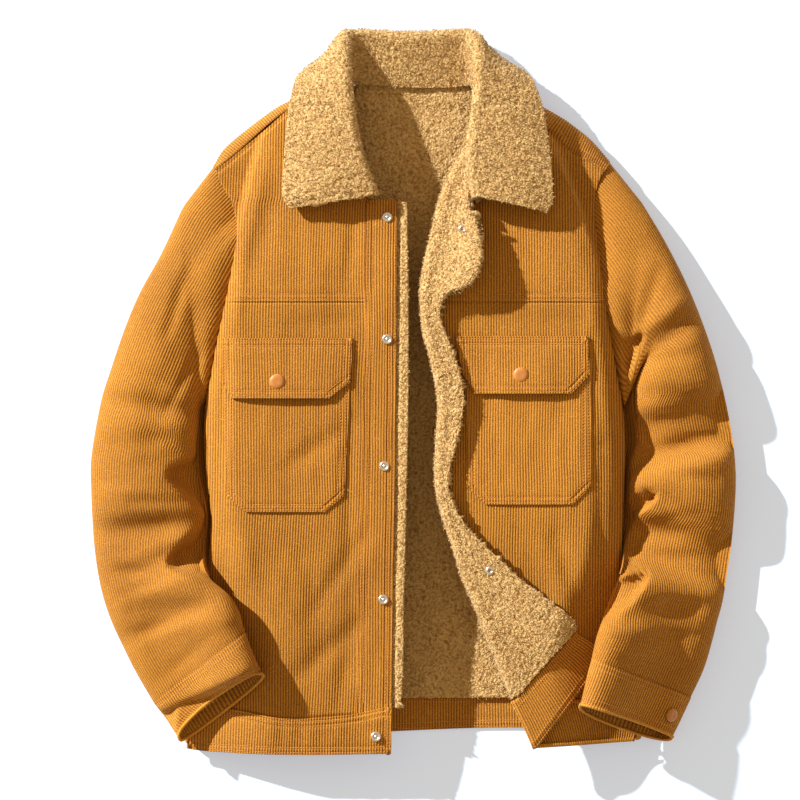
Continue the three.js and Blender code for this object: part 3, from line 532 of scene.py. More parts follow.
def hem_edges(grid, uv, thick, tuck=5.0, sides="tb"):
    """Turns the chosen edges of a grid down by the cloth's thickness and in again, so a
    cut panel shows a rounded edge. The normal points out of the cloth."""
    normal = grid_normals(grid)
    for side in sides:
        axis, end = {"t": (0, 0), "b": (0, -1), "l": (1, 0), "r": (1, -1)}[side]
        step = 3 if axis == 0 else min(16, grid.shape[1] - 1)
        edge = np.take(grid, [end], axis)
        inner = np.take(grid, [step if end == 0 else -1 - step], axis)
        n = np.take(normal, [step if end == 0 else -1 - step], axis)
        inward = (inner - edge) / np.maximum(np.linalg.norm(inner - edge, axis=-1, keepdims=True), 1e-6)
        rings = [edge - n * thick * 0.5 - inward * 0.25, edge - n * thick, edge - n * thick + inward * tuck]
        flat = [np.take(uv, [end], axis)] * 3
        order = rings if end == -1 else rings[::-1]
        if end == -1:
            grid, uv = np.concatenate([grid, *order], axis), np.concatenate([uv, *flat], axis)
        else:
            grid, uv = np.concatenate([*order, grid], axis), np.concatenate([*flat, uv], axis)
        normal = grid_normals(grid)
    return grid, uv


# %% [markdown]
# Flat-cut panels share one recipe. Columns follow the grain, a gentle line; the top and
# the foot are seam lines over x, and the sides hold the columns between two seam lines.

# %% Cut panels
def end_rows(length, row_step):
    """Shares of a panel's length: close rows near its ends, where it is stitched."""
    near = np.array([0, 1.2, 2.4, 3.6, 5.2, 6.6, 7.8, 9.0, 11.0])
    near = near[near < length / 2]
    middle = np.linspace(near[-1], length - near[-1], max(2, int(length / row_step)))[1:-1]
    return np.concatenate([near, middle, (length - near)[::-1]]) / length


def cut_panel(grain, widths, top, foot, low, high, lift, row_step=6.5, surface=front_surface,
              thick=2.0, stitched="", tucks=(0.0, 0.0)):
    """Places and wale map of a panel. grain(y) is x of the grain line, widths the reach to
    either side of it, top(x) and foot(x) its end seams, low(y) and high(y) its side seams.
    Columns past a side seam turn under it. tucks are what hides under the pieces above
    and below, and stitched names the ends and sides that are pressed down by stitches."""
    per = PITCH / COLUMNS_PER_WALE
    w = np.arange(math.floor(widths[0] / per), math.ceil(widths[1] / per) + 1) * per
    reference = grain(np.array([0.0]))[0] + w
    y0, y1 = top(reference) + tucks[0], foot(reference) - tucks[1]
    v = end_rows(float(np.max(y0 - y1)), row_step)[:, None]
    y = mix(y0, y1, v)
    wave = 1.1 * soft_noise(reference / 50 + 3, y / 60, 14) + 0.3 * soft_noise(reference / 9, y / 24, 15)
    x = grain(y) + w + wave
    past_low, past_high = np.maximum(low(y) - x, 0), np.maximum(x - high(y), 0)
    past = past_low + past_high
    x = np.clip(x, low(y), high(y))
    z = surface(x, y) + lift
    pressed = np.zeros_like(z)
    for side, away in (("t", y0 - y), ("b", y - y1), ("l", x - low(y)), ("r", high(y) - x)):
        for row in STITCH_ROWS if side in stitched else ():
            pressed += 0.7 * np.exp(-((away - row) / 1.3) ** 2)
    hidden = 1.2 * (tucks[0] > 0) * smoothstep((y - y0 + tucks[0]) / 2 + 1)
    hidden = hidden + 1.2 * (tucks[1] > 0) * smoothstep((y1 + tucks[1] - y) / 2 + 1)
    under = smoothstep(past / 1.6)
    inward = np.minimum(past, TUCK)
    normal = grid_normals(np.stack([x, y, z], -1)[:, ::-1])[:, ::-1]
    lost = np.linalg.norm(normal, axis=-1, keepdims=True) < 0.5
    normal = np.where(lost, np.array([0.0, 0.0, 1.0]), normal)
    phase = w / PITCH + np.zeros_like(y)
    ribs = RIB * (rib_height(phase) - 1) * (1 - under)
    grid = np.stack([x + np.where(past_low > 0, inward, -inward) * (past > 0), y, z], -1)
    grid = grid + normal * (ribs - pressed)[..., None]
    grid[..., 2] -= thick * under + hidden
    uv = np.stack([phase, y / 100], -1)
    return grid[:, ::-1], uv[:, ::-1]


def curve_xy(points, key=0):
    """A seam given by places, read by x (key 0) or by y (key 1)."""
    places = sorted([p[key], p[1 - key]] for p in points)
    table = smooth_table(places)
    return lambda value: table(value)[..., 1]


def level(value):
    return lambda other: np.full_like(np.asarray(other, float), float(value))


PLACKET_INNER = [(-46, 330), (-48, 206), (-50, 198), (-51, 96), (-52, -11), (-54, -118), (-58, -225),
                 (-60, -332), (-62, -400)]
FRONT_EDGE = [(-17, 240), (-17, 200), (-18, 96), (-19, -11), (-20, -118), (-22, -225), (-23, -332), (-24, -400)]
right_grain = curve_xy(PLACKET_INNER, 1)
front_edge = curve_xy(FRONT_EDGE, 1)
right_arm = curve_xy([(-211, 233), (-205, 218), (-195, 201), (-189, 172), (-195, 130), (-204, 90)], 1)
left_arm = curve_xy([(202, 230), (196, 216), (193, 193), (196, 165), (202, 123), (207, 90)], 1)
right_seam_x = curve_xy([(-203, 96), (-212, 48), (-222, -11), (-224, -50), (-222, -90), (-217, -130),
                         (-219, -180), (-224, -220), (-231, -260), (-237, -310), (-240, -337), (-243, -390)], 1)
left_seam_x = curve_xy([(206, 96), (213, 52), (223, -11), (227, -59), (225, -114), (223, -180), (225, -220),
                        (231, -260), (236, -310), (239, -337), (242, -390)], 1)
right_shoulder_y = curve_xy([(-211, 233), (-182, 257), (-160, 276), (-135, 297), (-105, 307), (-76, 316),
                             (-70, 292), (-63, 258), (-55, 228), (-50, 205)])
left_shoulder_y = curve_xy([(202, 230), (189, 239), (163, 255), (142, 276), (105, 298), (74, 316)])

CLOTH = {}


def panel_piece(name, node, material, slot, thick, ends, *shape, **options):
    """Cuts a panel, turns the named ends and makes the piece."""
    grid, uv = cut_panel(*shape, thick=thick, **options)
    CLOTH[name] = grid
    grid, uv = hem_edges(grid, uv, thick, sides=ends)
    return make_piece(name, [grid], material, [node], [uv])


def placket_side(y):
    return right_grain(y) + 3.0


UNDERLAP = 5.0
right_hem_seam = curve_xy([(-240, -337), (-189, -339), (-129, -349), (-65, -346)])
right_yoke = panel_piece(
    "right_front_yoke_cloth", "right_front_yoke", trim_corduroy, "corduroy_trim", 2.0, "b",
    right_grain, (-162, 3), right_shoulder_y, level(94), right_arm, placket_side, 0.0,
    stitched="b", tucks=(UNDERLAP, 0))
right_panel = panel_piece(
    "right_front_panel_cloth", "right_front_panel", body_corduroy, "corduroy", 2.0, "",
    right_grain, (-192, 3), level(93.4), right_hem_seam, right_seam_x, placket_side, 0.0,
    tucks=(UNDERLAP, UNDERLAP))

fold_x = curve_xy([(76, 322), (74, 316), (70, 292), (65, 270), (60, 252), (50, 232), (38, 202), (28, 163),
                   (20, 127), (17, 94), (20, 66), (28, 31), (33, 2), (35, -19), (33, -54), (33, -96),
                   (40, -133), (51, -166), (62, -200), (80, -244), (93, -278), (106, -309), (114, -329),
                   (120, -345)], 1)
left_yoke = panel_piece(
    "left_front_yoke_cloth", "left_front_yoke", trim_corduroy, "corduroy_trim", 2.0, "b",
    level(100), (-95, 114), left_shoulder_y, level(94), fold_x, left_arm, 0.0,
    stitched="b", tucks=(UNDERLAP, 0))
left_panel = panel_piece(
    "left_front_panel_cloth", "left_front_panel", body_corduroy, "corduroy", 2.0, "",
    level(100), (-88, 146), level(93.4), level(-328.5), fold_x, left_seam_x, 0.0,
    tucks=(UNDERLAP, UNDERLAP))

# %% [markdown]
# The placket and the hem bands are strips of the same cloth, sewn on with their wales
# upright. The placket stands a little proud of the front, as a strip of two layers does.

# %% Right placket and hem band
PLACKET_LIFT = 1.0
def placket_inner(y):
    return right_grain(y) - 1.0


right_placket = panel_piece(
    "right_placket_cloth", "right_placket", trim_corduroy, "corduroy_trim", 3.0, "t",
    front_edge, (-42, 1), level(203), level(-351), placket_inner, front_edge, PLACKET_LIFT,
    stitched="lr")
right_hem_top = curve_xy([(-241, -338), (-189, -340), (-129, -350), (-65, -347), (-22, -338)])
right_hem_foot = curve_xy([(-243, -372), (-236, -382), (-185, -387), (-111, -389), (-26, -388)])
right_band = panel_piece(
    "right_hem_band_cloth", "right_front_hem_band", trim_corduroy, "corduroy_trim", 3.0, "tb",
    right_grain, (-194, 44), right_hem_top, right_hem_foot, right_seam_x, front_edge, 1.4,
    row_step=5, stitched="tbr")

# %% [markdown]
# The left front is turned back over itself. A table gives the fold line and the turned edge;
# a half round of fixed radius joins the two layers. Only the sherpa side shows.

# %% The turned front's form
# Columns: fold x, y, turned edge x, y.
TURN = [
    [56, 266, 82, 218], [48, 252, 57, 203], [37, 232, 65, 181], [25, 202, 71, 154], [16, 163, 70, 131],
    [8, 127, 60, 112], [5, 100, 36, 103], [8, 66, 28, 79], [16, 31, 43, 38],
    [22, 2, 51, 9], [24, -19, 53, -13], [22, -54, 48, -46], [21, -96, 37, -93],
    [28, -133, 42, -121], [39, -166, 60, -149], [50, -200, 84, -173], [68, -244, 116, -203],
    [81, -278, 142, -223], [94, -309, 166, -241], [102, -329, 173, -254]]
turn = smooth_table([[i / (len(TURN) - 1), *row] for i, row in enumerate(TURN)])
NOSE = 10.1
FOLD_RISE = 0.5


def across_fold(v):
    """Unit direction across the fold line, towards the turned cloth."""
    ahead, behind = turn(np.clip(v + 0.01, 0, 1)), turn(np.clip(v - 0.01, 0, 1))
    step = ahead - behind
    length = np.hypot(step[..., 1], step[..., 2])
    return np.stack([-step[..., 2] / length, step[..., 1] / length], -1)


# How far the turned edge stands off the front. Columns: share of the fold line, lift.
edge_lift = smooth_table([[0, 8], [0.13, 16], [0.21, 21], [0.28, 13], [0.36, 3], [0.53, 3], [0.7, 2],
                          [0.83, 6], [0.93, 9], [1, 7]])


def turned_place(v, station, roll, under):
    """Stations run from -1 under the front, 0 to 1 round the fold, to 2 at the turned edge."""
    row = turn(v)
    inward = across_fold(v)
    centre = row[..., 1:3] + inward * NOSE
    middle = front_height(centre[..., 0], centre[..., 1]) + FOLD_RISE
    below = centre + inward * (-station * under)[..., None]
    angle = math.pi * (np.clip(station, 0, 1) - 0.5)
    round_plan = centre - inward * (roll * np.cos(angle))[..., None]
    above = mix(centre, row[..., 3:5], np.clip(station - 1, 0, 1)[..., None])
    first, last = (station < 0)[..., None], (station > 1)[..., None]
    plan = np.where(first, below, np.where(last, above, round_plan))
    lying = front_height(plan[..., 0], plan[..., 1]) + FOLD_RISE
    z = np.where(station < 0, lying - roll,
                 np.where(station > 1, lying + roll, middle + roll * np.sin(angle)))
    z = z + edge_lift(v)[..., 1] * smoothstep((station - 1.0) / 1.0) ** 1.2
    return np.concatenate([plan, z[..., None]], -1)


# %% [markdown]
# The pile is a field of small domes. Each point looks for the nearest of many scattered
# centres and stands as high as a dome over that centre; a second, finer field breaks the
# domes into locks.

# %% Pile
CURL_PITCH = 3.6
PILE_DEPTH = 2.6


def domes(a, b, pitch, seed):
    """Height 0 to 1 of round domes about a jittered lattice of centres."""
    ca, cb = a / pitch, b / pitch
    i, j = np.floor(ca).astype(int), np.floor(cb).astype(int)
    shift_a, shift_b = lattice(seed, 97), lattice(seed + 1, 97)
    nearest = np.full(ca.shape, 9.0)
    for di in (-1, 0, 1):
        for dj in (-1, 0, 1):
            m, n = i + di, j + dj
            away_a = ca - m - shift_a[m % 97, n % 97]
            away_b = cb - n - shift_b[m % 97, n % 97]
            nearest = np.minimum(nearest, away_a**2 + away_b**2)
    return np.sqrt(np.clip(1 - nearest / 0.6, 0, 1))


def cloth_lengths(grid):
    """Distances over the cloth: across each row, and down the middle column."""
    across = np.linalg.norm(np.diff(grid, axis=1), axis=-1)
    across = np.concatenate([np.zeros((len(grid), 1)), np.cumsum(across, axis=1)], axis=1)
    middle = grid[:, grid.shape[1] // 2]
    down = np.append(0, np.cumsum(np.linalg.norm(np.diff(middle, axis=0), axis=1)))
    return across, np.broadcast_to(down[:, None], across.shape)


def pile(grid, seed, depth=PILE_DEPTH, calm=1.0):
    """The grid raised along its normals into curls, and the height of each point's curl."""
    across, down = cloth_lengths(grid)
    warp_a = across + 2.2 * soft_noise(across / 6, down / 6, seed + 5)
    warp_b = down + 2.2 * soft_noise(across / 6 + 31, down / 6, seed + 6)
    large = domes(warp_a, warp_b, CURL_PITCH, seed)
    small = domes(warp_a, warp_b, CURL_PITCH * 0.42, seed + 2)
    curl = 0.62 * large + 0.38 * small
    lump = 0.5 + 0.5 * soft_noise(across / 15, down / 15, seed + 3)
    height = curl * (0.7 + 0.3 * lump)
    return grid + grid_normals(grid) * (depth * height * calm)[..., None], height


def strands(name, grid, count, seed, length=3.4, width=0.34):
    """Bent ribbons rooted on the grid, more of them where its faces are larger."""
    rng = np.random.default_rng(seed)
    a, b, c, d = grid[:-1, :-1], grid[:-1, 1:], grid[1:, 1:], grid[1:, :-1]
    area = np.linalg.norm(np.cross(c - a, d - b), axis=-1).ravel()
    pick = np.searchsorted(np.cumsum(area) / area.sum(), rng.random(count))
    pick = np.clip(pick, 0, len(area) - 1)
    corners = [q.reshape(-1, 3)[pick] for q in (a, b, c, d)]
    s, t = rng.random((2, count, 1))
    root = mix(mix(corners[0], corners[1], s), mix(corners[3], corners[2], s), t)
    normal = np.cross(corners[2] - corners[0], corners[3] - corners[1])
    normal /= np.maximum(np.linalg.norm(normal, axis=1, keepdims=True), 1e-9)
    lean = rng.normal(size=(count, 3))
    lean -= normal * (lean * normal).sum(1, keepdims=True)
    lean /= np.linalg.norm(lean, axis=1, keepdims=True)
    side = np.cross(normal, lean)
    size = length * rng.uniform(0.6, 1.2, (count, 1))
    curve = rng.uniform(-0.6, 0.6, (count, 1)) * side
    spine = [root - normal * 0.4, root + normal * 0.42 * size + lean * 0.22 * size,
             root + normal * 0.5 * size + (lean + curve) * 0.62 * size]
    half = [width, width * 0.8, width * 0.3]
    points = np.stack([p + side * h * sign for p, h in zip(spine, half) for sign in (-1, 1)], 1)
    faces = np.array([[0, 1, 3, 2], [2, 3, 5, 4]])
    faces = (faces[None] + 6 * np.arange(count)[:, None, None]).reshape(-1, 4)
    mesh = bpy.data.meshes.new(name)
    mesh.from_pydata((points.reshape(-1, 3) * MM).tolist(), [], faces.tolist())
    # Painted shade at each strand's root and painted highlight at its tip, through the stored curl height.
    tip = np.tile([0.45, 0.45, 0.75, 0.75, 1.0, 1.0], count)
    mesh.attributes.new("curl", "FLOAT", "POINT").data.foreach_set("value", tip)
    mesh.shade_smooth()
    mesh.materials.append(sherpa_pile)
    item = bpy.data.objects.new(name, mesh)
    bpy.context.scene.collection.objects.link(item)
    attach(item, "root")
    print(name, "has", 4 * count, "triangles")
    return item


def sherpa_piece(name, base, nodes, seed, count, edge_sides="tblr", edge=6.0):
    """A pile surface with turned edges, and the loose strands that stand on it."""
    raised, height = pile(base, seed)
    zero = np.zeros(height.shape + (2,))
    grid, flat = hem_edges(raised, np.concatenate([height[..., None], zero[..., :1]], -1), edge, 4.0,
                           edge_sides)
    item = make_piece(name, [grid], sherpa_pile, nodes, [flat], [flat[..., 0]])
    fuzz = strands(name + "_fuzz", raised, count, seed + 9)
    return item, fuzz


# %% [markdown]
# The turned front, the strip of pile past the closed edge and the back lining are all the
# same sherpa. The back lining lies deepest and shows between the fronts.

# %% Sherpa of the fronts and back
PILE_ROLL = 6.9
v = np.linspace(0, 1, 430)[:, None]
under_part = np.linspace(-1, 0, 9)[:-1]
round_part = np.linspace(0, 1, 25)[:-1]
flat_part = np.linspace(1, 2, 58)
stations = np.concatenate([under_part, round_part, flat_part])[None, :]
v, stations = np.broadcast_arrays(v, stations)
facing_base = turned_place(v, stations, PILE_ROLL, 26)[::-1]
left_facing, left_fuzz = sherpa_piece("left_front_sherpa", facing_base, ["left_front_lining"], 21, 16000,
                                      "tbr", 6.5)

pile_inner = curve_xy([(-45, 200), (-47, 96), (-50, -118), (-56, -340)], 1)
pile_outer = curve_xy([(-7, 200), (-5.5, 96), (-5.5, -11), (-7, -89), (-10, -218), (-12, -320), (-15, -338)], 1)
y = np.linspace(200, -338, 400)[:, None]
share = np.concatenate([np.linspace(0, 0.6, 5)[:-1], np.linspace(0.6, 1, 14)])[None, :]
y, share = np.broadcast_arrays(y, share)
x = mix(pile_inner(y), pile_outer(y), share)
past = x - front_edge(y) - 2
z = front_height(x, y) - 4.4 + 2.4 * smoothstep(past / 4)
strip_base = np.stack([x, y, z], -1)[:, ::-1]
right_strip, right_fuzz = sherpa_piece("right_front_sherpa", strip_base, ["right_front_lining"], 31, 4000,
                                       "tbl", 7)

lining_left = curve_xy([(-62, 322.6), (-66, 230), (-62, 0), (-62, -325)], 1)
lining_right = curve_xy([(60, 323), (84, 240), (70, 100), (60, -60), (90, -200), (128, -325)], 1)
y = np.linspace(330, -329, 400)[:, None]
share = np.linspace(0, 1, 92)[None, :]
y, share = np.broadcast_arrays(y, share)
x = mix(lining_left(y), lining_right(y), share)
z = 2.4 + 3.0 + 2.2 * smoothstep((y - 296) / 18) + 1.0 * soft_noise(x / 40, y / 60, 8)
z = z - crease_depth(x, y, [[-40, 200, 10, 60, 14, 1.5], [-30, -60, 20, -250, 16, 1.8], [40, -120, 70, -260, 12, 1.6]])
lining_base = np.stack([x, y, z], -1)[:, ::-1]
back_sherpa, back_fuzz = sherpa_piece("back_lining_sherpa", lining_base, ["back_lining"], 41, 12000, "blr", 4)

# %% [markdown]
# The left hem band goes round the same fold and comes back up over the front, so its wales
# lie across the turned part. Columns are spaced by their distance along the band.

# %% Left hem band
BAND_ROLL = 4.0
BAND_CLOTH = 3.0
BAND_TURN = [[103, -332, 172, -257], [108, -342, 177, -262], [118, -362, 190, -270], [127, -383, 205, -284]]
band_turn = smooth_table([[i / 3, *row] for i, row in enumerate(BAND_TURN)])
left_seam_line = seam_line([[223, -12], [227, -59], [225, -114], [223, -180], [225, -220], [231, -260],
                            [236, -310], [241, -374]])


def band_place(v, station, lift=0.0):
    """Stations run from -1 at the side seam, 0 to 1 round the fold, to 2 at the band's end."""
    row = band_turn(v)
    inward = np.array([0.92, 0.39])
    centre = row[..., 1:3] + inward * (BAND_ROLL + BAND_CLOTH / 2)
    rise = BAND_ROLL - BAND_CLOTH / 2
    side_y = row[..., 2] + 2 - 3 * v + 9 * v**3
    side = np.stack([left_seam_x(side_y) - 1 - 6 * v**4, side_y], -1)
    lobe = mix(centre, side, np.clip(-station, 0, 1)[..., None])
    angle = math.pi * (np.clip(station, 0, 1) - 0.5)
    roll = BAND_ROLL + lift
    round_plan = centre - inward * (roll * np.cos(angle))[..., None]
    above = mix(centre, row[..., 3:5], np.clip(station - 1, 0, 1)[..., None])
    first, last = (station <= 0)[..., None], (station > 1)[..., None]
    plan = np.where(first, lobe, np.where(last, above, round_plan))
    lying = front_height(plan[..., 0], plan[..., 1])
    middle = front_height(centre[..., 0], centre[..., 1]) + rise
    z = np.where(station <= 0, lying + rise - BAND_ROLL - lift,
                 np.where(station > 1, lying + rise + roll, middle + roll * np.sin(angle)))
    return np.concatenate([plan, z[..., None]], -1)


dense = np.linspace(-1, 2, 900)
middle_line = band_place(np.full(900, 0.5), dense)
band_length = np.append(0, np.cumsum(np.linalg.norm(np.diff(middle_line, axis=0), axis=1)))
band_steps = np.arange(0, band_length[-1], PITCH / COLUMNS_PER_WALE)
band_stations = np.append(np.interp(band_steps, band_length, dense), 2.0)
v, station = np.broadcast_arrays(np.linspace(0, 1, 9)[:, None], band_stations[None, :])
grid = band_place(v, station)[::-1]
phase = np.broadcast_to(np.append(band_steps, band_length[-1]) / PITCH, v.shape)
outer = np.where(station > 0.5, 1.0, -1.0)[..., None]
grid = grid + grid_normals(grid) * (BAND_CLOTH / 2 + RIB * (rib_height(phase) - 1))[..., None]
lobe_columns = station[0] <= 0.0
lobe = band_place(v, station)
lobe[..., 2] += 0.5 + BAND_CLOTH / 2 + RIB * (rib_height(phase) - 1)
lobe = lobe[:, lobe_columns][:, ::-1]
uv = np.stack([phase, v * 0.5], -1)
turned_band = grid
above = station[0] > -0.25
turned_grid, turned_uv = hem_edges(grid[:, above], uv[::-1][:, above], 3, 4.0, "tbr")
lobe_grid, lobe_uv = hem_edges(lobe, uv[:, lobe_columns][:, ::-1], 3, 4.0, "tb")
left_band = make_piece("left_hem_band_cloth", [turned_grid, lobe_grid], trim_corduroy,
                       ["left_front_hem_band"], [turned_uv, lobe_uv])

# %% [markdown]
# The back lies flat on the surface, seen only at its hem and where its yoke comes over the
# shoulders. There the wales cross the shoulder, from the back to the seam on the front.

# %% Back
CURL = 14.0


def back_height(x, y):
    inside = np.clip(np.minimum(x - right_side(y)[..., 1], left_side(y)[..., 1] - x) / CURL, 0, 1)
    return 12.2 * smoothstep((-16 - y) / 50) * (1 - np.sqrt(1 - (1 - inside) ** 2))


def back_surface(x, y):
    return back_height(x, y) + 2.0


def pressed_back(x, y):
    return back_height(x, y)


grid, uv = cut_panel(level(0), (-245, 245), level(79.4), level(-325), right_seam_x, left_seam_x, 2.0,
                     row_step=27, surface=pressed_back)
sole, sole_uv = cut_panel(level(0), (-245, 245), level(79.4), level(-325), right_seam_x, left_seam_x, 0.6,
                          row_step=81, surface=pressed_back)
back_cloth = make_piece("back_panel_cloth", [grid, sole[:, ::-1]], body_corduroy,
                        ["back_panel"], [uv, sole_uv[:, ::-1]])
band_foot = curve_xy([(-243, -377), (-150, -373), (-20, -365), (115, -361), (180, -367), (241, -373)])
back_band = panel_piece(
    "back_hem_band_cloth", "back_hem_band", trim_corduroy, "corduroy_trim", 2.6, "tb",
    level(0), (-245, 245), level(-325.8), band_foot, right_seam_x, left_seam_x, 2.9,
    row_step=9, surface=pressed_back, stitched="tb")

# Columns: ridge x, y, front seam x, y, turn over the shoulder in degrees.
SHOULDERS = [
    [-215, 239, -210, 234, 180], [-200, 261, -188, 252, 180], [-160, 293, -152, 283.5, 180],
    [-134, 309, -128, 300.5, 180], [-105, 319, -102, 309, 180], [-80, 326, -80, 317, 170],
    [-68, 326, -68, 320, 90], [-50, 325.5, -50, 320, 60], [-2, 322.5, -2, 318, 60],
    [34, 322.5, 34, 318, 60], [58, 325, 58, 320, 60], [68, 326, 68, 320, 90],
    [80, 325, 79, 315, 170], [118, 313, 106, 298.5, 180], [155, 294, 142, 277, 180],
    [174, 281, 163, 256.5, 180], [192, 266, 182, 244.5, 180], [211, 244, 203, 231, 180]]
shoulder = smooth_table([[i / (len(SHOULDERS) - 1), *row] for i, row in enumerate(SHOULDERS)])
YOKE_NOSE = 13.0
SEAM_ALLOWANCE = 1.6


def shoulder_place(u, share):
    """The yoke's hook over the shoulder: share 0 is on the surface, 1 at the front seam."""
    row = shoulder(u)
    ridge, seam_xy, turn_degrees = row[..., 1:3], row[..., 3:5], row[..., 5]
    height = (front_surface(seam_xy[..., 0], seam_xy[..., 1]) - 1.3) * (0.35 + 0.65 * smoothstep((turn_degrees - 60) / 120))
    angle = share * turn_degrees * math.pi / 180
    to_seam = np.linalg.norm(seam_xy - ridge, axis=-1)
    reach = np.where(angle < math.pi / 2, YOKE_NOSE, to_seam - SEAM_ALLOWANCE)
    inset = reach * (1 - np.sin(angle))
    plan = ridge + (seam_xy - ridge) * (inset / to_seam)[..., None]
    return np.concatenate([plan, (height / 2 * (1 - np.cos(angle)))[..., None]], -1)


dense = np.linspace(0, 1, 1200)
ridge_line = shoulder_place(dense, np.full(1200, 0.5))
ridge_length = np.append(0, np.cumsum(np.linalg.norm(np.diff(ridge_line, axis=0), axis=1)))
steps = np.arange(0, ridge_length[-1], PITCH / COLUMNS_PER_WALE)
u, share = np.broadcast_arrays(np.interp(steps, ridge_length, dense)[None, :], np.linspace(0, 1, 12)[:, None])
hook = shoulder_place(u, share)
phase = np.broadcast_to(steps / PITCH, u.shape)
hook_uv = np.stack([phase, share * 0.3], -1)
grid = hook[:, ::-1]
normal = grid_normals(hook)
outward = np.where(normal[..., 2:3] * 0 + 1 > 0, -normal, normal)
hook_out = hook + normal * (2.0 - 1.0 + RIB * (rib_height(phase) - 1))[..., None]
flat_rows = np.linspace(0, 1, 8)[:, None, None]
left_x = np.interp(hook[0, :, 0], [-215, 211], [-204, 207])
foot = np.stack([left_x, np.full_like(left_x, 80.0), np.zeros_like(left_x)], -1)
flat = mix(foot[None], hook_out[0][None] * [1, 1, 1], flat_rows)
yoke_grid, yoke_uv = hem_edges(np.concatenate([flat[:-1], hook_out]),
                               np.concatenate([np.broadcast_to(hook_uv[:1], (7,) + hook_uv.shape[1:]), hook_uv]), 0.9, 3.0, "b")
back_yoke = make_piece("back_yoke_cloth", [yoke_grid], trim_corduroy,
                       ["back_yoke"], [yoke_uv])

# %% [markdown]
# A sleeve is a tube that lies flat. Its rings follow a table from the armhole to the cuff.
# The wales keep their distance from the outer fold, so the under seam cuts across them.

# %% Sleeves
# Columns: outer edge x, y, inner edge x, y, thickness of the sleeve as it lies.
RIGHT_SLEEVE = [
    [-246, 196, -226, -20, 40], [-269, 146, -228, -34, 46], [-292, 104, -230, -48, 50],
    [-308, 66, -231, -58, 52], [-324, 19, -231, -67, 52], [-334, -14, -231, -78, 50],
    [-344, -72, -229, -96, 48], [-344, -108, -223, -122, 50], [-343, -136, -221, -142, 50],
    [-341, -165, -223, -163, 46], [-337, -195, -224, -184, 44], [-331, -222, -216, -201, 48],
    [-322, -248, -196, -218, 48], [-310, -274, -185, -236, 46], [-296, -302, -182, -248, 44],
    [-276.5, -335.5, -178.0, -260.0, 42]]
LEFT_SLEEVE = [
    [244, 200, 225, -20, 40], [269, 158, 230, -8, 44], [294, 108, 242, 24, 48],
    [315, 54, 238, 14, 50], [329, 6, 235, -12, 52], [340, -48, 239, -54, 52],
    [344, -88, 232, -78, 50], [343, -125, 229, -112, 48], [339, -168, 234, -137, 46],
    [334, -200, 226, -165, 48], [330, -226, 222, -190, 48], [324, -248, 210, -219, 48],
    [319, -268, 200, -246, 46], [310, -298, 194, -264, 44], [294.5, -331.5, 188.5, -288.5, 42]]
RIGHT_CUFF = [[-278, -333, -179, -257, 43], [-268, -346, -174, -271, 44], [-258, -360, -167, -288, 44],
              [-249, -373, -160, -303, 43]]
LEFT_CUFF = [[296.5, -328, 189.5, -285, 43], [290, -342, 185, -301, 44], [283, -357, 181, -318, 44],
             [276, -371, 177, -335, 43]]
# Columns: from x, y, to x, y, width, depth.
SLEEVE_CREASES = [
    [-203, 200, -214, 130, 12, 5], [-214, 130, -216, 60, 14, 7], [-245, 148, -237, 94, 10, -3],
    [-335, -9, -223, -27, 11, 6], [-234, -141, -332, -150, 13, 9], [-228, -152, -325, -190, 10, -4],
    [-268, -92, -330, -108, 12, -3], [-262, -194, -205, -210, 8, -3], [-293, -235, -215, -228, 14, 7],
    [-309, -267, -222, -224, 10, 4], [234, 206, 210, 134, 12, 4], [250, 42, 310, 84, 12, 7],
    [244, 63, 297, 102, 8, -3], [234, -7, 338, -10, 12, 7], [239, -73, 335, -47, 12, 8],
    [250, -106, 325, -151, 11, 5], [230, -148, 318, -146, 11, 7], [234, -236, 327, -226, 12, 5]]
FINE_CREASES = [
    [-240, 130, -262, 60, 7, 3.0], [-228, 40, -262, -20, 6, 2.6], [-318, 30, -262, 4, 6, 2.2],
    [-330, -60, -262, -52, 7, 2.4], [-334, -100, -280, -98, 6, 2.2], [-300, -120, -232, -118, 6, 2.4],
    [-328, -190, -268, -196, 6, 2.6], [-316, -220, -240, -190, 6, 2.4], [-290, -260, -222, -232, 6, 2.2],
    [-270, -308, -214, -262, 7, 2.0], [262, 128, 240, 60, 7, 2.8], [300, 40, 250, 30, 6, 2.4],
    [330, -30, 262, -34, 6, 2.4], [322, -96, 262, -86, 6, 2.6], [306, -132, 250, -140, 6, 2.4],
    [318, -180, 254, -176, 7, 2.4], [314, -212, 250, -208, 6, 2.0], [300, -262, 240, -262, 6, 2.2],
    [286, -300, 222, -286, 7, 2.0]]


# Deep folds that open at a sleeve's inner edge. Columns: tip x, y, mouth x, y, half width
# of the mouth, depth.
NOTCHES = [
    [-266, -88, -222, -95, 26, 19], [-265, -185, -214, -172, 27, 20],
    [262, -110, 232, -124, 9, 15], [258, -188, 222, -214, 11, 16], [246, 62, 222, 30, 8, 10]]


def notch_depth(x, y):
    """Depth of the deep folds: a valley that widens from its tip to the sleeve's edge."""
    depth = np.zeros_like(x)
    for ax, ay, bx, by, mouth, deep in NOTCHES:
        run = (bx - ax) ** 2 + (by - ay) ** 2
        t = np.maximum(((x - ax) * (bx - ax) + (y - ay) * (by - ay)) / run, 0)
        away = np.hypot(x - mix(ax, bx, t), y - mix(ay, by, t))
        half = 2.5 + mouth * np.minimum(t, 1)
        depth = np.maximum(depth, deep * smoothstep(4 * t) * np.exp(-((away / half) ** 4)))
    return depth


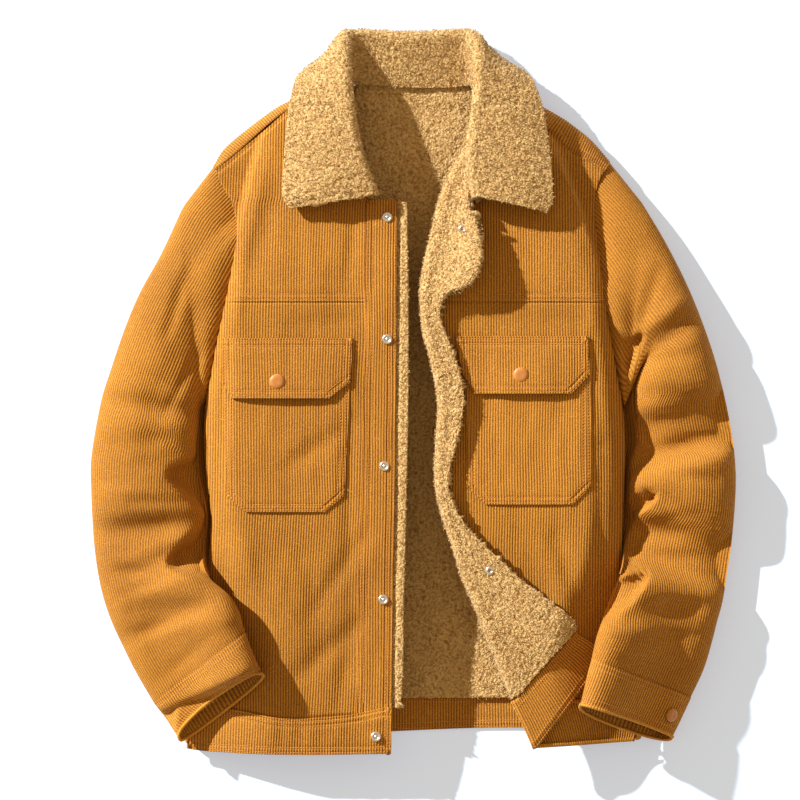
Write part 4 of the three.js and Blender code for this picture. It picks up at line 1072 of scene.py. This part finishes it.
def rest_height(x, y):
    """Height of what a sleeve rests on: the surface, or the body's side."""
    inside = np.minimum(x - right_side(y)[..., 1], left_side(y)[..., 1] - x)
    over = np.clip((inside + 24) / 13, 0, 1) * smoothstep((-165 - y) / 30)
    side = np.sign(x)
    turned = 9 * smoothstep((236 - x) / 20) * smoothstep((-235 - y) / 20) * (side > 0)
    return over * (front_height(x - side * 9, y) + 1.5 + turned)


def ring_places(row, theta, top, opening):
    """Places on a sleeve's ring; theta runs 0 at the outer edge to pi at the inner one. The
    top of a cuff draws back by the opening and its lower lip comes forward by it."""
    outer, inner, thick = row[..., 0:2], row[..., 2:4], row[..., 4]
    q = np.cos(theta)
    share = (1 - q) / 2
    plan = mix(outer, inner, share[..., None])
    side = np.sign(outer[..., 0])
    along = np.stack([outer[..., 1] - inner[..., 1], inner[..., 0] - outer[..., 0]], -1) * side[..., None]
    along = along / np.linalg.norm(along, axis=-1, keepdims=True)
    arch = np.clip(np.sin(theta), 0, 1) ** 0.7
    if not top:
        plan = plan + along * (opening * arch)[..., None]
        z = thick * 0.4 * (1 - np.sqrt(np.clip(1 - np.abs(q) ** 5, 0, 1)))
        return np.concatenate([plan, (rest_height(plan[..., 0], plan[..., 1]) + z)[..., None]], -1)
    plan = plan - along * (opening * arch)[..., None]
    line = rest_height(inner[..., 0], inner[..., 1]) * smoothstep((share - 0.2) / 0.8)
    z = line + thick * (0.4 + 0.6 * np.sqrt(np.clip(1 - np.abs(q) ** 2.4, 0, 1)))
    x, y = plan[..., 0], plan[..., 1]
    fold = crease_depth(x, y, SLEEVE_CREASES) + crease_depth(x, y, FINE_CREASES) + notch_depth(x, y)
    fold = fold - 1.6 * soft_noise(x / 30, y / 30, 12) * np.sin(theta)
    z = np.maximum(z - fold * (np.sin(theta) > 0.02), rest_height(x, y) + thick * 0.4)
    return np.concatenate([plan, z[..., None]], -1)


def armhole_places(line, side, theta, top):
    """The sleeve's first ring: the armhole seam seen from the front, and from behind."""
    q = np.cos(theta)
    share = (1 - q) / 2
    place = line(share)[..., :2] - [side * 1.5, 0]
    end = mix(14.0, 8.0, share)
    if top:
        x, y = place[..., 0], place[..., 1]
        z = mix(end, front_surface(x, y) - 1.4, np.sqrt(np.clip(1 - np.abs(q) ** 8, 0, 1)))
    else:
        z = end * (1 - np.sqrt(np.clip(1 - np.minimum(1, np.abs(q) ** 5), 0, 1)))
    return np.concatenate([place, z[..., None]], -1)


def tube_places(rows, v, theta, top, armhole=None, side=1, opening=0.0):
    """Places at row number v; numbers below 0 blend into the armhole ring."""
    place = ring_places(rows(np.maximum(v, 0))[..., 1:], theta, top, opening)
    if armhole is None:
        return place
    start = armhole_places(armhole, side, theta, top)
    t = np.clip(v + 1, 0, 1)[..., None]
    joined = mix(start, place, t)
    joined[..., 2] += (5 * np.sin(math.pi * t[..., 0]) * np.sin(theta)) if top else 0
    return joined


def wale_angles(rows, v, armhole, side, edge_line, opening):
    """For each ring, the angles at which the cloth's distance from the outer fold is a
    whole step of the wale pitch."""
    theta = np.linspace(0, math.pi, 181)
    vv, tt = np.broadcast_arrays(v[:, None], theta[None, :])
    op = np.broadcast_to(opening[:, None], vv.shape)
    place = tube_places(rows, vv, tt, True, armhole, side, op)
    away = np.full(vv.shape, 1e9)
    for p, q in zip(edge_line[:-1], edge_line[1:]):
        d = q - p
        t = np.clip(((place[..., :2] - p) @ d) / (d @ d), 0, 1)
        away = np.minimum(away, np.linalg.norm(place[..., :2] - p - t[..., None] * d, axis=-1))
    away = np.maximum.accumulate(away, axis=1)
    rise = np.abs(np.diff(place[..., 2], axis=1))
    step = np.sqrt(np.diff(away, axis=1) ** 2 + np.minimum(rise, 3) ** 2)
    length = np.concatenate([np.zeros((len(v), 1)), np.cumsum(step, axis=1)], axis=1)
    steps = np.arange(0, length.max() + 1, PITCH / COLUMNS_PER_WALE)
    angles = np.stack([np.interp(steps, row, theta) for row in length])
    return angles, steps / PITCH, np.minimum(steps[None, :], length[:, -1:])


def sleeve_cloth(name, table_rows, node, material, armhole=None, drawn=0.0, lip=0.0,
                 row_step=6.0, lift=0.0):
    """A ribbed upper half, a plain under half that shares its edges, and a layer that goes
    from the inner edge to below the body's side."""
    rows = smooth_table([[i, *row] for i, row in enumerate(table_rows)])
    side = 1 if table_rows[0][0] > 0 else -1
    last = len(table_rows) - 1
    first = -1.0 if armhole else 0.0
    outline = [np.array(row[:2], float) for row in table_rows]
    if armhole:
        outline = [armhole(np.array(0.0))[:2] - [side * 1.5, 0]] + outline
    outline = [outline[0] * 2 - outline[1]] + outline + [outline[-1] * 2 - outline[-2]]
    length = sum(np.linalg.norm(b - a) for a, b in zip(outline[1:-2], outline[2:-1]))
    v = np.linspace(first, last, int(length / row_step) + 2)
    open_share = (np.clip(v, 0, None) / last) ** 1.5
    angles, phase, _ = wale_angles(rows, v, armhole, side, outline, drawn * open_share)
    vv = np.broadcast_to(v[:, None], angles.shape)
    top = tube_places(rows, vv, angles, True, armhole, side,
                      np.broadcast_to((drawn * open_share)[:, None], angles.shape))
    phases = np.broadcast_to(phase, angles.shape)
    if side < 0:
        top, phases, angles = top[:, ::-1], phases[:, ::-1], angles[:, ::-1]
    normal = grid_normals(top)
    normal = normal * np.where(normal[..., 2:3] < -0.2, -1, 1)
    ribs = (lift + RIB * (rib_height(phases) - 1)) * smoothstep(np.sin(angles) / 0.25)
    top = top + normal * ribs[..., None]
    theta = np.linspace(0, math.pi, 23)
    vb, tb = np.broadcast_arrays(v[:, None], theta[None, :])
    low = tube_places(rows, vb, tb, False, armhole, side,
                      np.broadcast_to((lip * open_share)[:, None], vb.shape))
    low_uv = np.stack([tb * 12, vb * 0.3], -1)
    top_uv = np.stack([phases, np.broadcast_to(v[:, None] * 0.3, phases.shape)], -1)
    grids, uvs = [top, low], [top_uv, low_uv]
    if armhole:
        inner = low[:, -1][1:]
        inner = inner[inner[:, 1] > -200]
        body_side = right_side if side < 0 else left_side
        below = np.stack([body_side(inner[:, 1])[:, 1] - side * 6, inner[:, 1], np.full(len(inner), 4.0)], -1)
        s = np.linspace(0, 1, 14)[None, :, None]
        layer = mix(inner[:, None], below[:, None], s)
        layer[..., 2] = inner[:, None, 2] * (1 - s[..., 0]) ** 3 + 5.0
        grids.append(layer if side < 0 else layer[:, ::-1])
        uvs.append(np.stack([np.broadcast_to(s[..., 0] * 6, layer.shape[:2]), layer[..., 1] / 100], -1))
    if lip:
        grids.append(rolled_rim(top[-1], low[-1]))
        uvs.append(np.zeros(grids[-1].shape[:2] + (2,)) + 0.5)
    item = make_piece(name, grids, material, [node], uvs)
    return item, top, low


RIM_RADIUS = 1.7


def rolled_rim(upper, lower):
    """The turned hem of a cuff: a thin tube along both halves of its end."""
    ring = np.concatenate([upper, lower[::-1] if np.linalg.norm(upper[-1] - lower[-1])
                           < np.linalg.norm(upper[-1] - lower[0]) else lower])
    keep = np.append(True, np.linalg.norm(np.diff(ring, axis=0), axis=1) > 0.4)
    ring = ring[keep]
    tangent = unit(np.roll(ring, -1, axis=0) - np.roll(ring, 1, axis=0))
    across = unit(np.cross(tangent, [0.0, 0.0, 1.0]))
    up = np.cross(across, tangent)
    angle = np.linspace(0, 2 * math.pi, 9)[None, :, None]
    tube = ring[:, None] + RIM_RADIUS * (np.cos(angle) * across[:, None] + np.sin(angle) * up[:, None])
    tube = np.concatenate([tube, tube[:1]])
    tube[..., 2] = np.maximum(tube[..., 2], 0.1)
    return tube


def unit(vector):
    return vector / np.maximum(np.linalg.norm(vector, axis=-1, keepdims=True), 1e-9)


right_armhole = seam_line([[-214.5, 239], [-206, 220], [-195, 201], [-189, 172], [-195, 130], [-203, 90],
                           [-212, 48], [-222, -11]])
left_armhole = seam_line([[210.5, 243.5], [198, 220], [193, 193], [196, 165], [202, 123], [206, 90],
                          [213, 52], [223, -11]])
right_sleeve, right_top, _ = sleeve_cloth(
    "right_sleeve_cloth", RIGHT_SLEEVE, "right_sleeve", sleeve_corduroy, right_armhole)
left_sleeve, left_top, _ = sleeve_cloth(
    "left_sleeve_cloth", LEFT_SLEEVE, "left_sleeve", sleeve_corduroy, left_armhole)
right_cuff, right_cuff_top, right_cuff_low = sleeve_cloth(
    "right_cuff_cloth", RIGHT_CUFF, "right_cuff", trim_corduroy, None, 13, 5, 4, 1.2)
left_cuff, left_cuff_top, left_cuff_low = sleeve_cloth(
    "left_cuff_cloth", LEFT_CUFF, "left_cuff", trim_corduroy, None, 4, 9, 4, 1.2)

# %% [markdown]
# The collar stands at the neck, rolls over and falls onto the shoulders. Each row of its
# table is one cut through it: where it is sewn, where it rolls and where it ends.

# %% Collar
# Columns: neck seam x, y, z, roll x, y, z, outer edge x, y, z.
COLLAR = [
    [-44, 204, 44, -39, 207, 54, -130, 193, 54], [-51, 219, 46, -50, 230, 57, -138, 206, 53],
    [-59, 246, 44, -59, 258, 57, -137, 241, 46], [-68, 278, 40, -65, 289, 54, -134, 278, 42],
    [-73, 305, 34, -69, 321, 48, -130, 310, 36], [-73, 319, 26, -72, 353, 40, -121, 334, 24],
    [-67, 326, 16, -73, 377, 28, -102, 342, 11], [-55, 327, 10.5, -63, 381, 19, -79, 338, 8],
    [-30, 325.6, 10, -30, 380, 17, -38, 337, 6.8], [-2, 324, 10, -2, 379, 16.5, -2, 336, 6.8],
    [34, 324, 10, 30, 380, 17, 36, 337, 6.8], [58, 326, 10.5, 58, 381, 19, 73, 338, 8],
    [67, 325, 16, 66, 372, 30, 100, 342, 11], [71, 319, 26, 68, 345, 40, 123, 332, 24],
    [68, 300, 34, 67, 318, 48, 135, 305, 36], [62, 275, 42, 64, 286, 54, 142, 268, 44],
    [60, 252, 52, 60, 262, 60, 146, 230, 54], [60, 228, 55, 60, 238, 62, 147, 201, 57],
    [61, 203, 57, 66, 204, 62, 141, 189, 58]]
collar_table = smooth_table([[i / (len(COLLAR) - 1), *row] for i, row in enumerate(COLLAR)])
COLLAR_ROLL = 5.0


def collar_place(station, t):
    """t runs 0 at the neck seam, 0.25 to 0.5 round the roll, to 1 at the outer edge."""
    row = collar_table(station)
    neck, roll, edge = row[..., 1:4], row[..., 4:7], row[..., 7:10]
    inward = unit((neck + edge) / 2 - roll)
    stand = neck - roll
    fold = -unit(stand - inward * (stand * inward).sum(-1, keepdims=True))
    centre = roll + inward * COLLAR_ROLL
    angle = math.pi * ((np.clip(t, 0.25, 0.5) - 0.25) / 0.25 - 0.5)[..., None]
    round_part = centre - inward * COLLAR_ROLL * np.cos(angle) + fold * COLLAR_ROLL * np.sin(angle)
    rising = mix(neck, centre - fold * COLLAR_ROLL, np.clip(t / 0.25, 0, 1)[..., None])
    share = np.clip((t - 0.5) / 0.5, 0, 1)
    falling = mix(centre + fold * COLLAR_ROLL, edge, share[..., None])
    place = np.where((t < 0.25)[..., None], rising, np.where((t <= 0.5)[..., None], round_part, falling))
    x, y, z = place[..., 0], place[..., 1], place[..., 2].copy()
    lying = np.maximum(z + 3 * np.sin(math.pi * share), front_height(x, y) + 3)
    z = np.where((t > 0.5) & (y < 300), lying, z)
    z = np.where((t < 0.25) & (y < 316), np.maximum(z, front_height(x, y) + 0.8), z)
    return np.stack([x, y, z], -1)


t = np.concatenate([np.linspace(0, 0.25, 20)[:-1], np.linspace(0.25, 0.5, 20)[:-1], np.linspace(0.5, 1, 62)])
station = np.linspace(0, 1, 400)
t, station = np.broadcast_arrays(t[:, None], station[None, :])
collar_base = collar_place(station, t)
collar_base = collar_base + grid_normals(collar_base) * 2.4
collar, collar_fuzz = sherpa_piece("collar_sherpa", collar_base, ["collar"], 51, 17000, "blr", 5)

t = np.linspace(0.5, 1, 14)
station = np.linspace(0, 1, 520)
t, station = np.broadcast_arrays(t[:, None], station[None, :])
under = collar_place(station, t)
under = under - grid_normals(under) * 2.2
phase = np.broadcast_to(np.linspace(0, 130, 520), t.shape)
under_uv = np.stack([phase, t], -1)
under_collar = make_piece("under_collar_cloth", [under[:, ::-1]], body_corduroy, ["under_collar"],
                          [under_uv[:, ::-1]])

# %% [markdown]
# Pockets and flaps are patches with slanted corners, sewn flat onto the fronts. The pocket
# bellies out a little; the flap lifts towards its free edge.

# %% Pockets and flaps
def patch(name, node, rows, lift, belly, thick):
    """A patch from rows of y, low x and high x, highest row first. lift is its height on the
    front; belly adds to it towards the middle."""
    rows = np.array(rows, float)
    low = lambda y: np.interp(y, rows[::-1, 0], rows[::-1, 1])
    high = lambda y: np.interp(y, rows[::-1, 0], rows[::-1, 2])
    corner = rows[-2:]
    foot_x = [corner[0, 1], corner[1, 1], corner[1, 2], corner[0, 2]]
    foot_y = [corner[0, 0], corner[1, 0], corner[1, 0], corner[0, 0]]
    foot = lambda x: np.interp(x, foot_x, foot_y)
    top_y, foot_low = rows[0, 0], rows[-1, 0]
    middle = (rows[0, 1] + rows[0, 2]) / 2
    half = (rows[0, 2] - rows[0, 1]) / 2

    def surface(x, y):
        s = np.clip((top_y - y) / (top_y - foot_low), 0, 1)
        across = 1 - np.clip(np.abs(x - middle) / half, 0, 1) ** 2.5
        return front_surface(x, y) + lift + belly * s**1.3 * across

    item = panel_piece(name, node, trim_corduroy, "corduroy_trim", thick, "tb",
                       level(middle), (-half - 4, half + 4), level(top_y), foot, low, high, 0.0,
                       row_step=5, surface=surface, stitched="tblr")
    return item, surface


right_pocket_rows = [[49, -203.5, -66.5], [10, -203, -67.5], [-30, -202, -69], [-70, -201, -71],
                     [-112, -200, -73], [-130, -179, -94]]
left_pocket_rows = [[51, 56, 189], [10, 56, 189], [-30, 56, 189], [-65, 56, 189], [-103, 56, 189],
                    [-122, 76, 170]]
right_flap_rows = [[55, -204, -65], [33, -204, -65.5], [8, -204, -67], [-9, -194, -89]]
left_flap_rows = [[57, 45, 186], [36, 48, 187], [17, 52, 188], [-4, 64, 168]]
right_pocket, right_pocket_top = patch("right_pocket_cloth", "right_pocket", right_pocket_rows, 1.7, 0.8, 1.6)
left_pocket, left_pocket_top = patch("left_pocket_cloth", "left_pocket", left_pocket_rows, 1.7, 0.8, 1.6)
right_flap, right_flap_top = patch("right_flap_cloth", "right_pocket_flap", right_flap_rows, 3.4, 5.4, 2.8)
left_flap, left_flap_top = patch("left_flap_cloth", "left_pocket_flap", left_flap_rows, 3.4, 5.4, 2.8)

# %% [markdown]
# Snaps are small turned metal parts, so each is a profile spun about its own axis. The studs
# have a ring and a dimple, the sockets an open middle, and the caps a low painted dome.

# %% Snaps and caps
# Profiles. Columns: radius, height.
STUD = [[0.01, 2.3], [1.0, 2.2], [1.7, 1.1], [2.3, 1.0], [2.9, 2.3], [4.0, 2.5], [4.7, 1.6], [4.9, 0.0]]
SOCKET = [[0.01, -0.6], [1.5, -0.6], [1.8, 1.4], [2.6, 2.1], [3.8, 1.8], [4.6, 0.8], [4.9, 0.0]]
CAP = [[0.01, 2.3], [3.0, 2.5], [5.6, 2.4], [7.2, 1.7], [8.1, 0.8], [8.3, 0.0]]


def height_on(grid, x, y):
    """The height of the grid's place nearest to x, y in plan."""
    places = grid.reshape(-1, 3)
    nearest = np.hypot(places[:, 0] - x, places[:, 1] - y).argmin()
    return float(places[nearest, 2])


def turned_part(name, node, profile, place, material, size=1.0, lean=(0.0, 0.0, 1.0)):
    profile = np.array(profile) * [size, 1.0]
    angle = np.linspace(0, 2 * math.pi, 33)[None, :]
    radius, height = profile[::-1, 0:1], profile[::-1, 1:2]
    spun = np.stack([radius * np.cos(angle), radius * np.sin(angle), height + 0 * angle], -1)
    axis = unit(np.array(lean))
    side = unit(np.cross([0.0, 1.0, 0.0], axis))
    spun = spun[..., 0:1] * side + spun[..., 1:2] * np.cross(axis, side) + spun[..., 2:3] * axis
    return make_piece(name, [spun + np.array(place)], material, [node])


def strip_at(y):
    return "right_placket_cloth" if y > -339 else "right_hem_band_cloth"


STUD_PLACES = [[-28, 184], [-28, 54], [-31, -81], [-32, -223], [-40, -369]]
studs = []
for number, (x, y) in enumerate(STUD_PLACES, 1):
    z = height_on(CLOTH[strip_at(y)], x, y) - 0.2
    studs.append(turned_part(f"stud_{number}", f"snap_stud_{number}", STUD, [x, y, z], steel.material,
                             1.12))
SOCKET_PLACES = [[52, 171], [81, -192]]
sockets = []
for number, (x, y) in enumerate(SOCKET_PLACES, 1):
    z = height_on(facing_base, x, y) + 1.6
    sockets.append(turned_part(f"socket_{number}", f"snap_socket_{number}", SOCKET, [x, y, z],
                               steel.material))
right_cap = turned_part("right_cap", "right_flap_cap", CAP,
                        [-145, 9, height_on(CLOTH["right_flap_cloth"], -145, 9) - 0.2],
                        tonal.material)
left_cap = turned_part("left_cap", "left_flap_cap", CAP,
                       [114, 16, height_on(CLOTH["left_flap_cloth"], 114, 16) - 0.2],
                       tonal.material)
CUFF_CAP_PLACE = (275.4, -346.6, 37.6)
cuff_cap = turned_part("cuff_cap", "left_cuff_cap", CAP, CUFF_CAP_PLACE, tonal.material,
                       0.89, (0.6, -0.22, 0.77))

# %% [markdown]
# The yokes, placket, hem bands, pockets, flaps and cuffs are held by two rows of thread. A stitch
# is a tiny spindle that lies in the row the seam presses into the cloth. Rows keep a fixed
# distance from the edge of their piece.

# %% Topstitching
STITCH_STEP = 3.4
STITCH_LENGTH = 2.7
STITCH_RADIUS = 0.42


def edge_line(grid, distance, end=0):
    """A line that keeps a distance from the grid's first or last row, over the cloth."""
    grid = grid if end == 0 else grid[::-1]
    step = np.linalg.norm(np.diff(grid, axis=0), axis=-1)
    length = np.concatenate([np.zeros((1, grid.shape[1])), np.cumsum(step, axis=0)])
    line = [[np.interp(distance, length[:, i], grid[:, i, k]) for k in range(3)]
            for i in range(grid.shape[1])]
    return np.array(line)


def plan_line(points, surface, lift):
    """A line over a surface through places in plan, sampled every millimetre or so."""
    points = np.array(points, float)
    length = np.append(0, np.cumsum(np.linalg.norm(np.diff(points, axis=0), axis=1)))
    s = np.arange(0, length[-1], 1.0)
    x, y = np.interp(s, length, points[:, 0]), np.interp(s, length, points[:, 1])
    return np.stack([x, y, surface(x, y) + lift], -1)


def inset_outline(rows, distance):
    """A patch's outline moved in: each edge is shifted and met with the next."""
    rows = np.array(rows, float)
    corners = np.vstack([rows[[0, -2, -1]][:, [1, 0]], rows[[-1, -2, 0]][:, [2, 0]]])
    ahead = np.roll(corners, -1, axis=0) - corners
    inward = np.stack([-ahead[:, 1], ahead[:, 0]], -1)
    inward /= np.linalg.norm(inward, axis=1, keepdims=True)
    start = corners + inward * distance
    inset = []
    for i in range(len(corners)):
        p, d = start[i - 1], ahead[i - 1]
        q, e = start[i], ahead[i]
        t = ((q[0] - p[0]) * e[1] - (q[1] - p[1]) * e[0]) / (d[0] * e[1] - d[1] * e[0])
        inset.append(p + t * d)
    return inset + inset[:1]


def stitches(name, lines):
    """One spindle for each stitch along all the lines, joined in one mesh."""
    centres, tangents = [], []
    for line in lines:
        length = np.append(0, np.cumsum(np.linalg.norm(np.diff(line, axis=0), axis=1)))
        s = np.arange(STITCH_STEP, length[-1] - STITCH_STEP, STITCH_STEP)
        at = [np.stack([np.interp(s + d, length, line[:, k]) for k in range(3)], -1) for d in (-0.8, 0, 0.8)]
        centres.append(at[1])
        tangents.append(unit(at[2] - at[0]))
    centre, tangent = np.vstack(centres), np.vstack(tangents)
    side = unit(np.cross(tangent, [0.0, 0.0, 1.0]))
    up = np.cross(side, tangent)
    rings = []
    for share, radius in ((-0.5, 0.12), (0.0, STITCH_RADIUS), (0.5, 0.12)):
        for a in range(4):
            turn_a = math.pi / 2 * a
            rings.append(centre + tangent * share * STITCH_LENGTH
                         + radius * (side * math.cos(turn_a) + up * math.sin(turn_a)))
    points = np.stack(rings, 1)
    quads = [[k * 4 + a, k * 4 + (a + 1) % 4, k * 4 + 4 + (a + 1) % 4, k * 4 + 4 + a]
             for k in range(2) for a in range(4)]
    faces = (np.array(quads)[None] + 12 * np.arange(len(centre))[:, None, None]).reshape(-1, 4)
    mesh = bpy.data.meshes.new(name)
    mesh.from_pydata((points.reshape(-1, 3) * MM).tolist(), [], faces.tolist())
    mesh.shade_smooth()
    mesh.materials.append(thread.material)
    item = bpy.data.objects.new(name, mesh)
    bpy.context.scene.collection.objects.link(item)
    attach(item, "root")
    print(name, "has", len(centre), "stitches")
    return item


def sampled(low, high, count=60):
    return np.linspace(low, high, count)


STITCH_LIFT = -0.35
body_lines = []
for row in STITCH_ROWS:
    x = sampled(right_arm(np.array(94.0)) + 1, -53)
    body_lines.append(plan_line(np.stack([x, level(94 + row)(x)], -1), front_surface, STITCH_LIFT))
    x = sampled(30, left_arm(np.array(94.0)) - 1)
    body_lines.append(plan_line(np.stack([x, level(94 + row)(x)], -1), front_surface, STITCH_LIFT))
    y = sampled(201, -338)
    for edge in (placket_inner(y) + row, front_edge(y) - row):
        body_lines.append(plan_line(np.stack([edge, y], -1), front_surface, PLACKET_LIFT + STITCH_LIFT))
    x = sampled(-240, -26)
    body_lines.append(plan_line(np.stack([x, right_hem_top(x) - row], -1), front_surface, 1.4 + STITCH_LIFT))
    body_lines.append(plan_line(np.stack([x, right_hem_foot(x) + row], -1), front_surface, 1.4 + STITCH_LIFT))
    y = sampled(-342, -386)
    body_lines.append(plan_line(np.stack([front_edge(y) - row, y], -1), front_surface, 1.4 + STITCH_LIFT))
    x = sampled(-60, 130)
    for y in (level(-325.8 - row)(x), band_foot(x) + row):
        body_lines.append(plan_line(np.stack([x, y], -1), pressed_back, 2.9 + STITCH_LIFT))
    for rows, surface in ((right_pocket_rows, right_pocket_top), (left_pocket_rows, left_pocket_top),
                          (right_flap_rows, right_flap_top), (left_flap_rows, left_flap_top)):
        body_lines.append(plan_line(inset_outline(rows, row), surface, STITCH_LIFT))
body_stitches = stitches("body_stitches", body_lines)

strip_lines = []
for row in STITCH_ROWS:
    line = edge_line(hook_out, row, 1)
    strip_lines += [line[line[:, 0] < -100], line[line[:, 0] > 100]]
    strip_lines += [edge_line(turned_band, row, 0), edge_line(turned_band, row, 1)]
    for top in (right_cuff_top, left_cuff_top):
        strip_lines += [edge_line(top, row, 0), edge_line(top, row, 1)]
edge_stitches = stitches("edge_stitches", strip_lines)
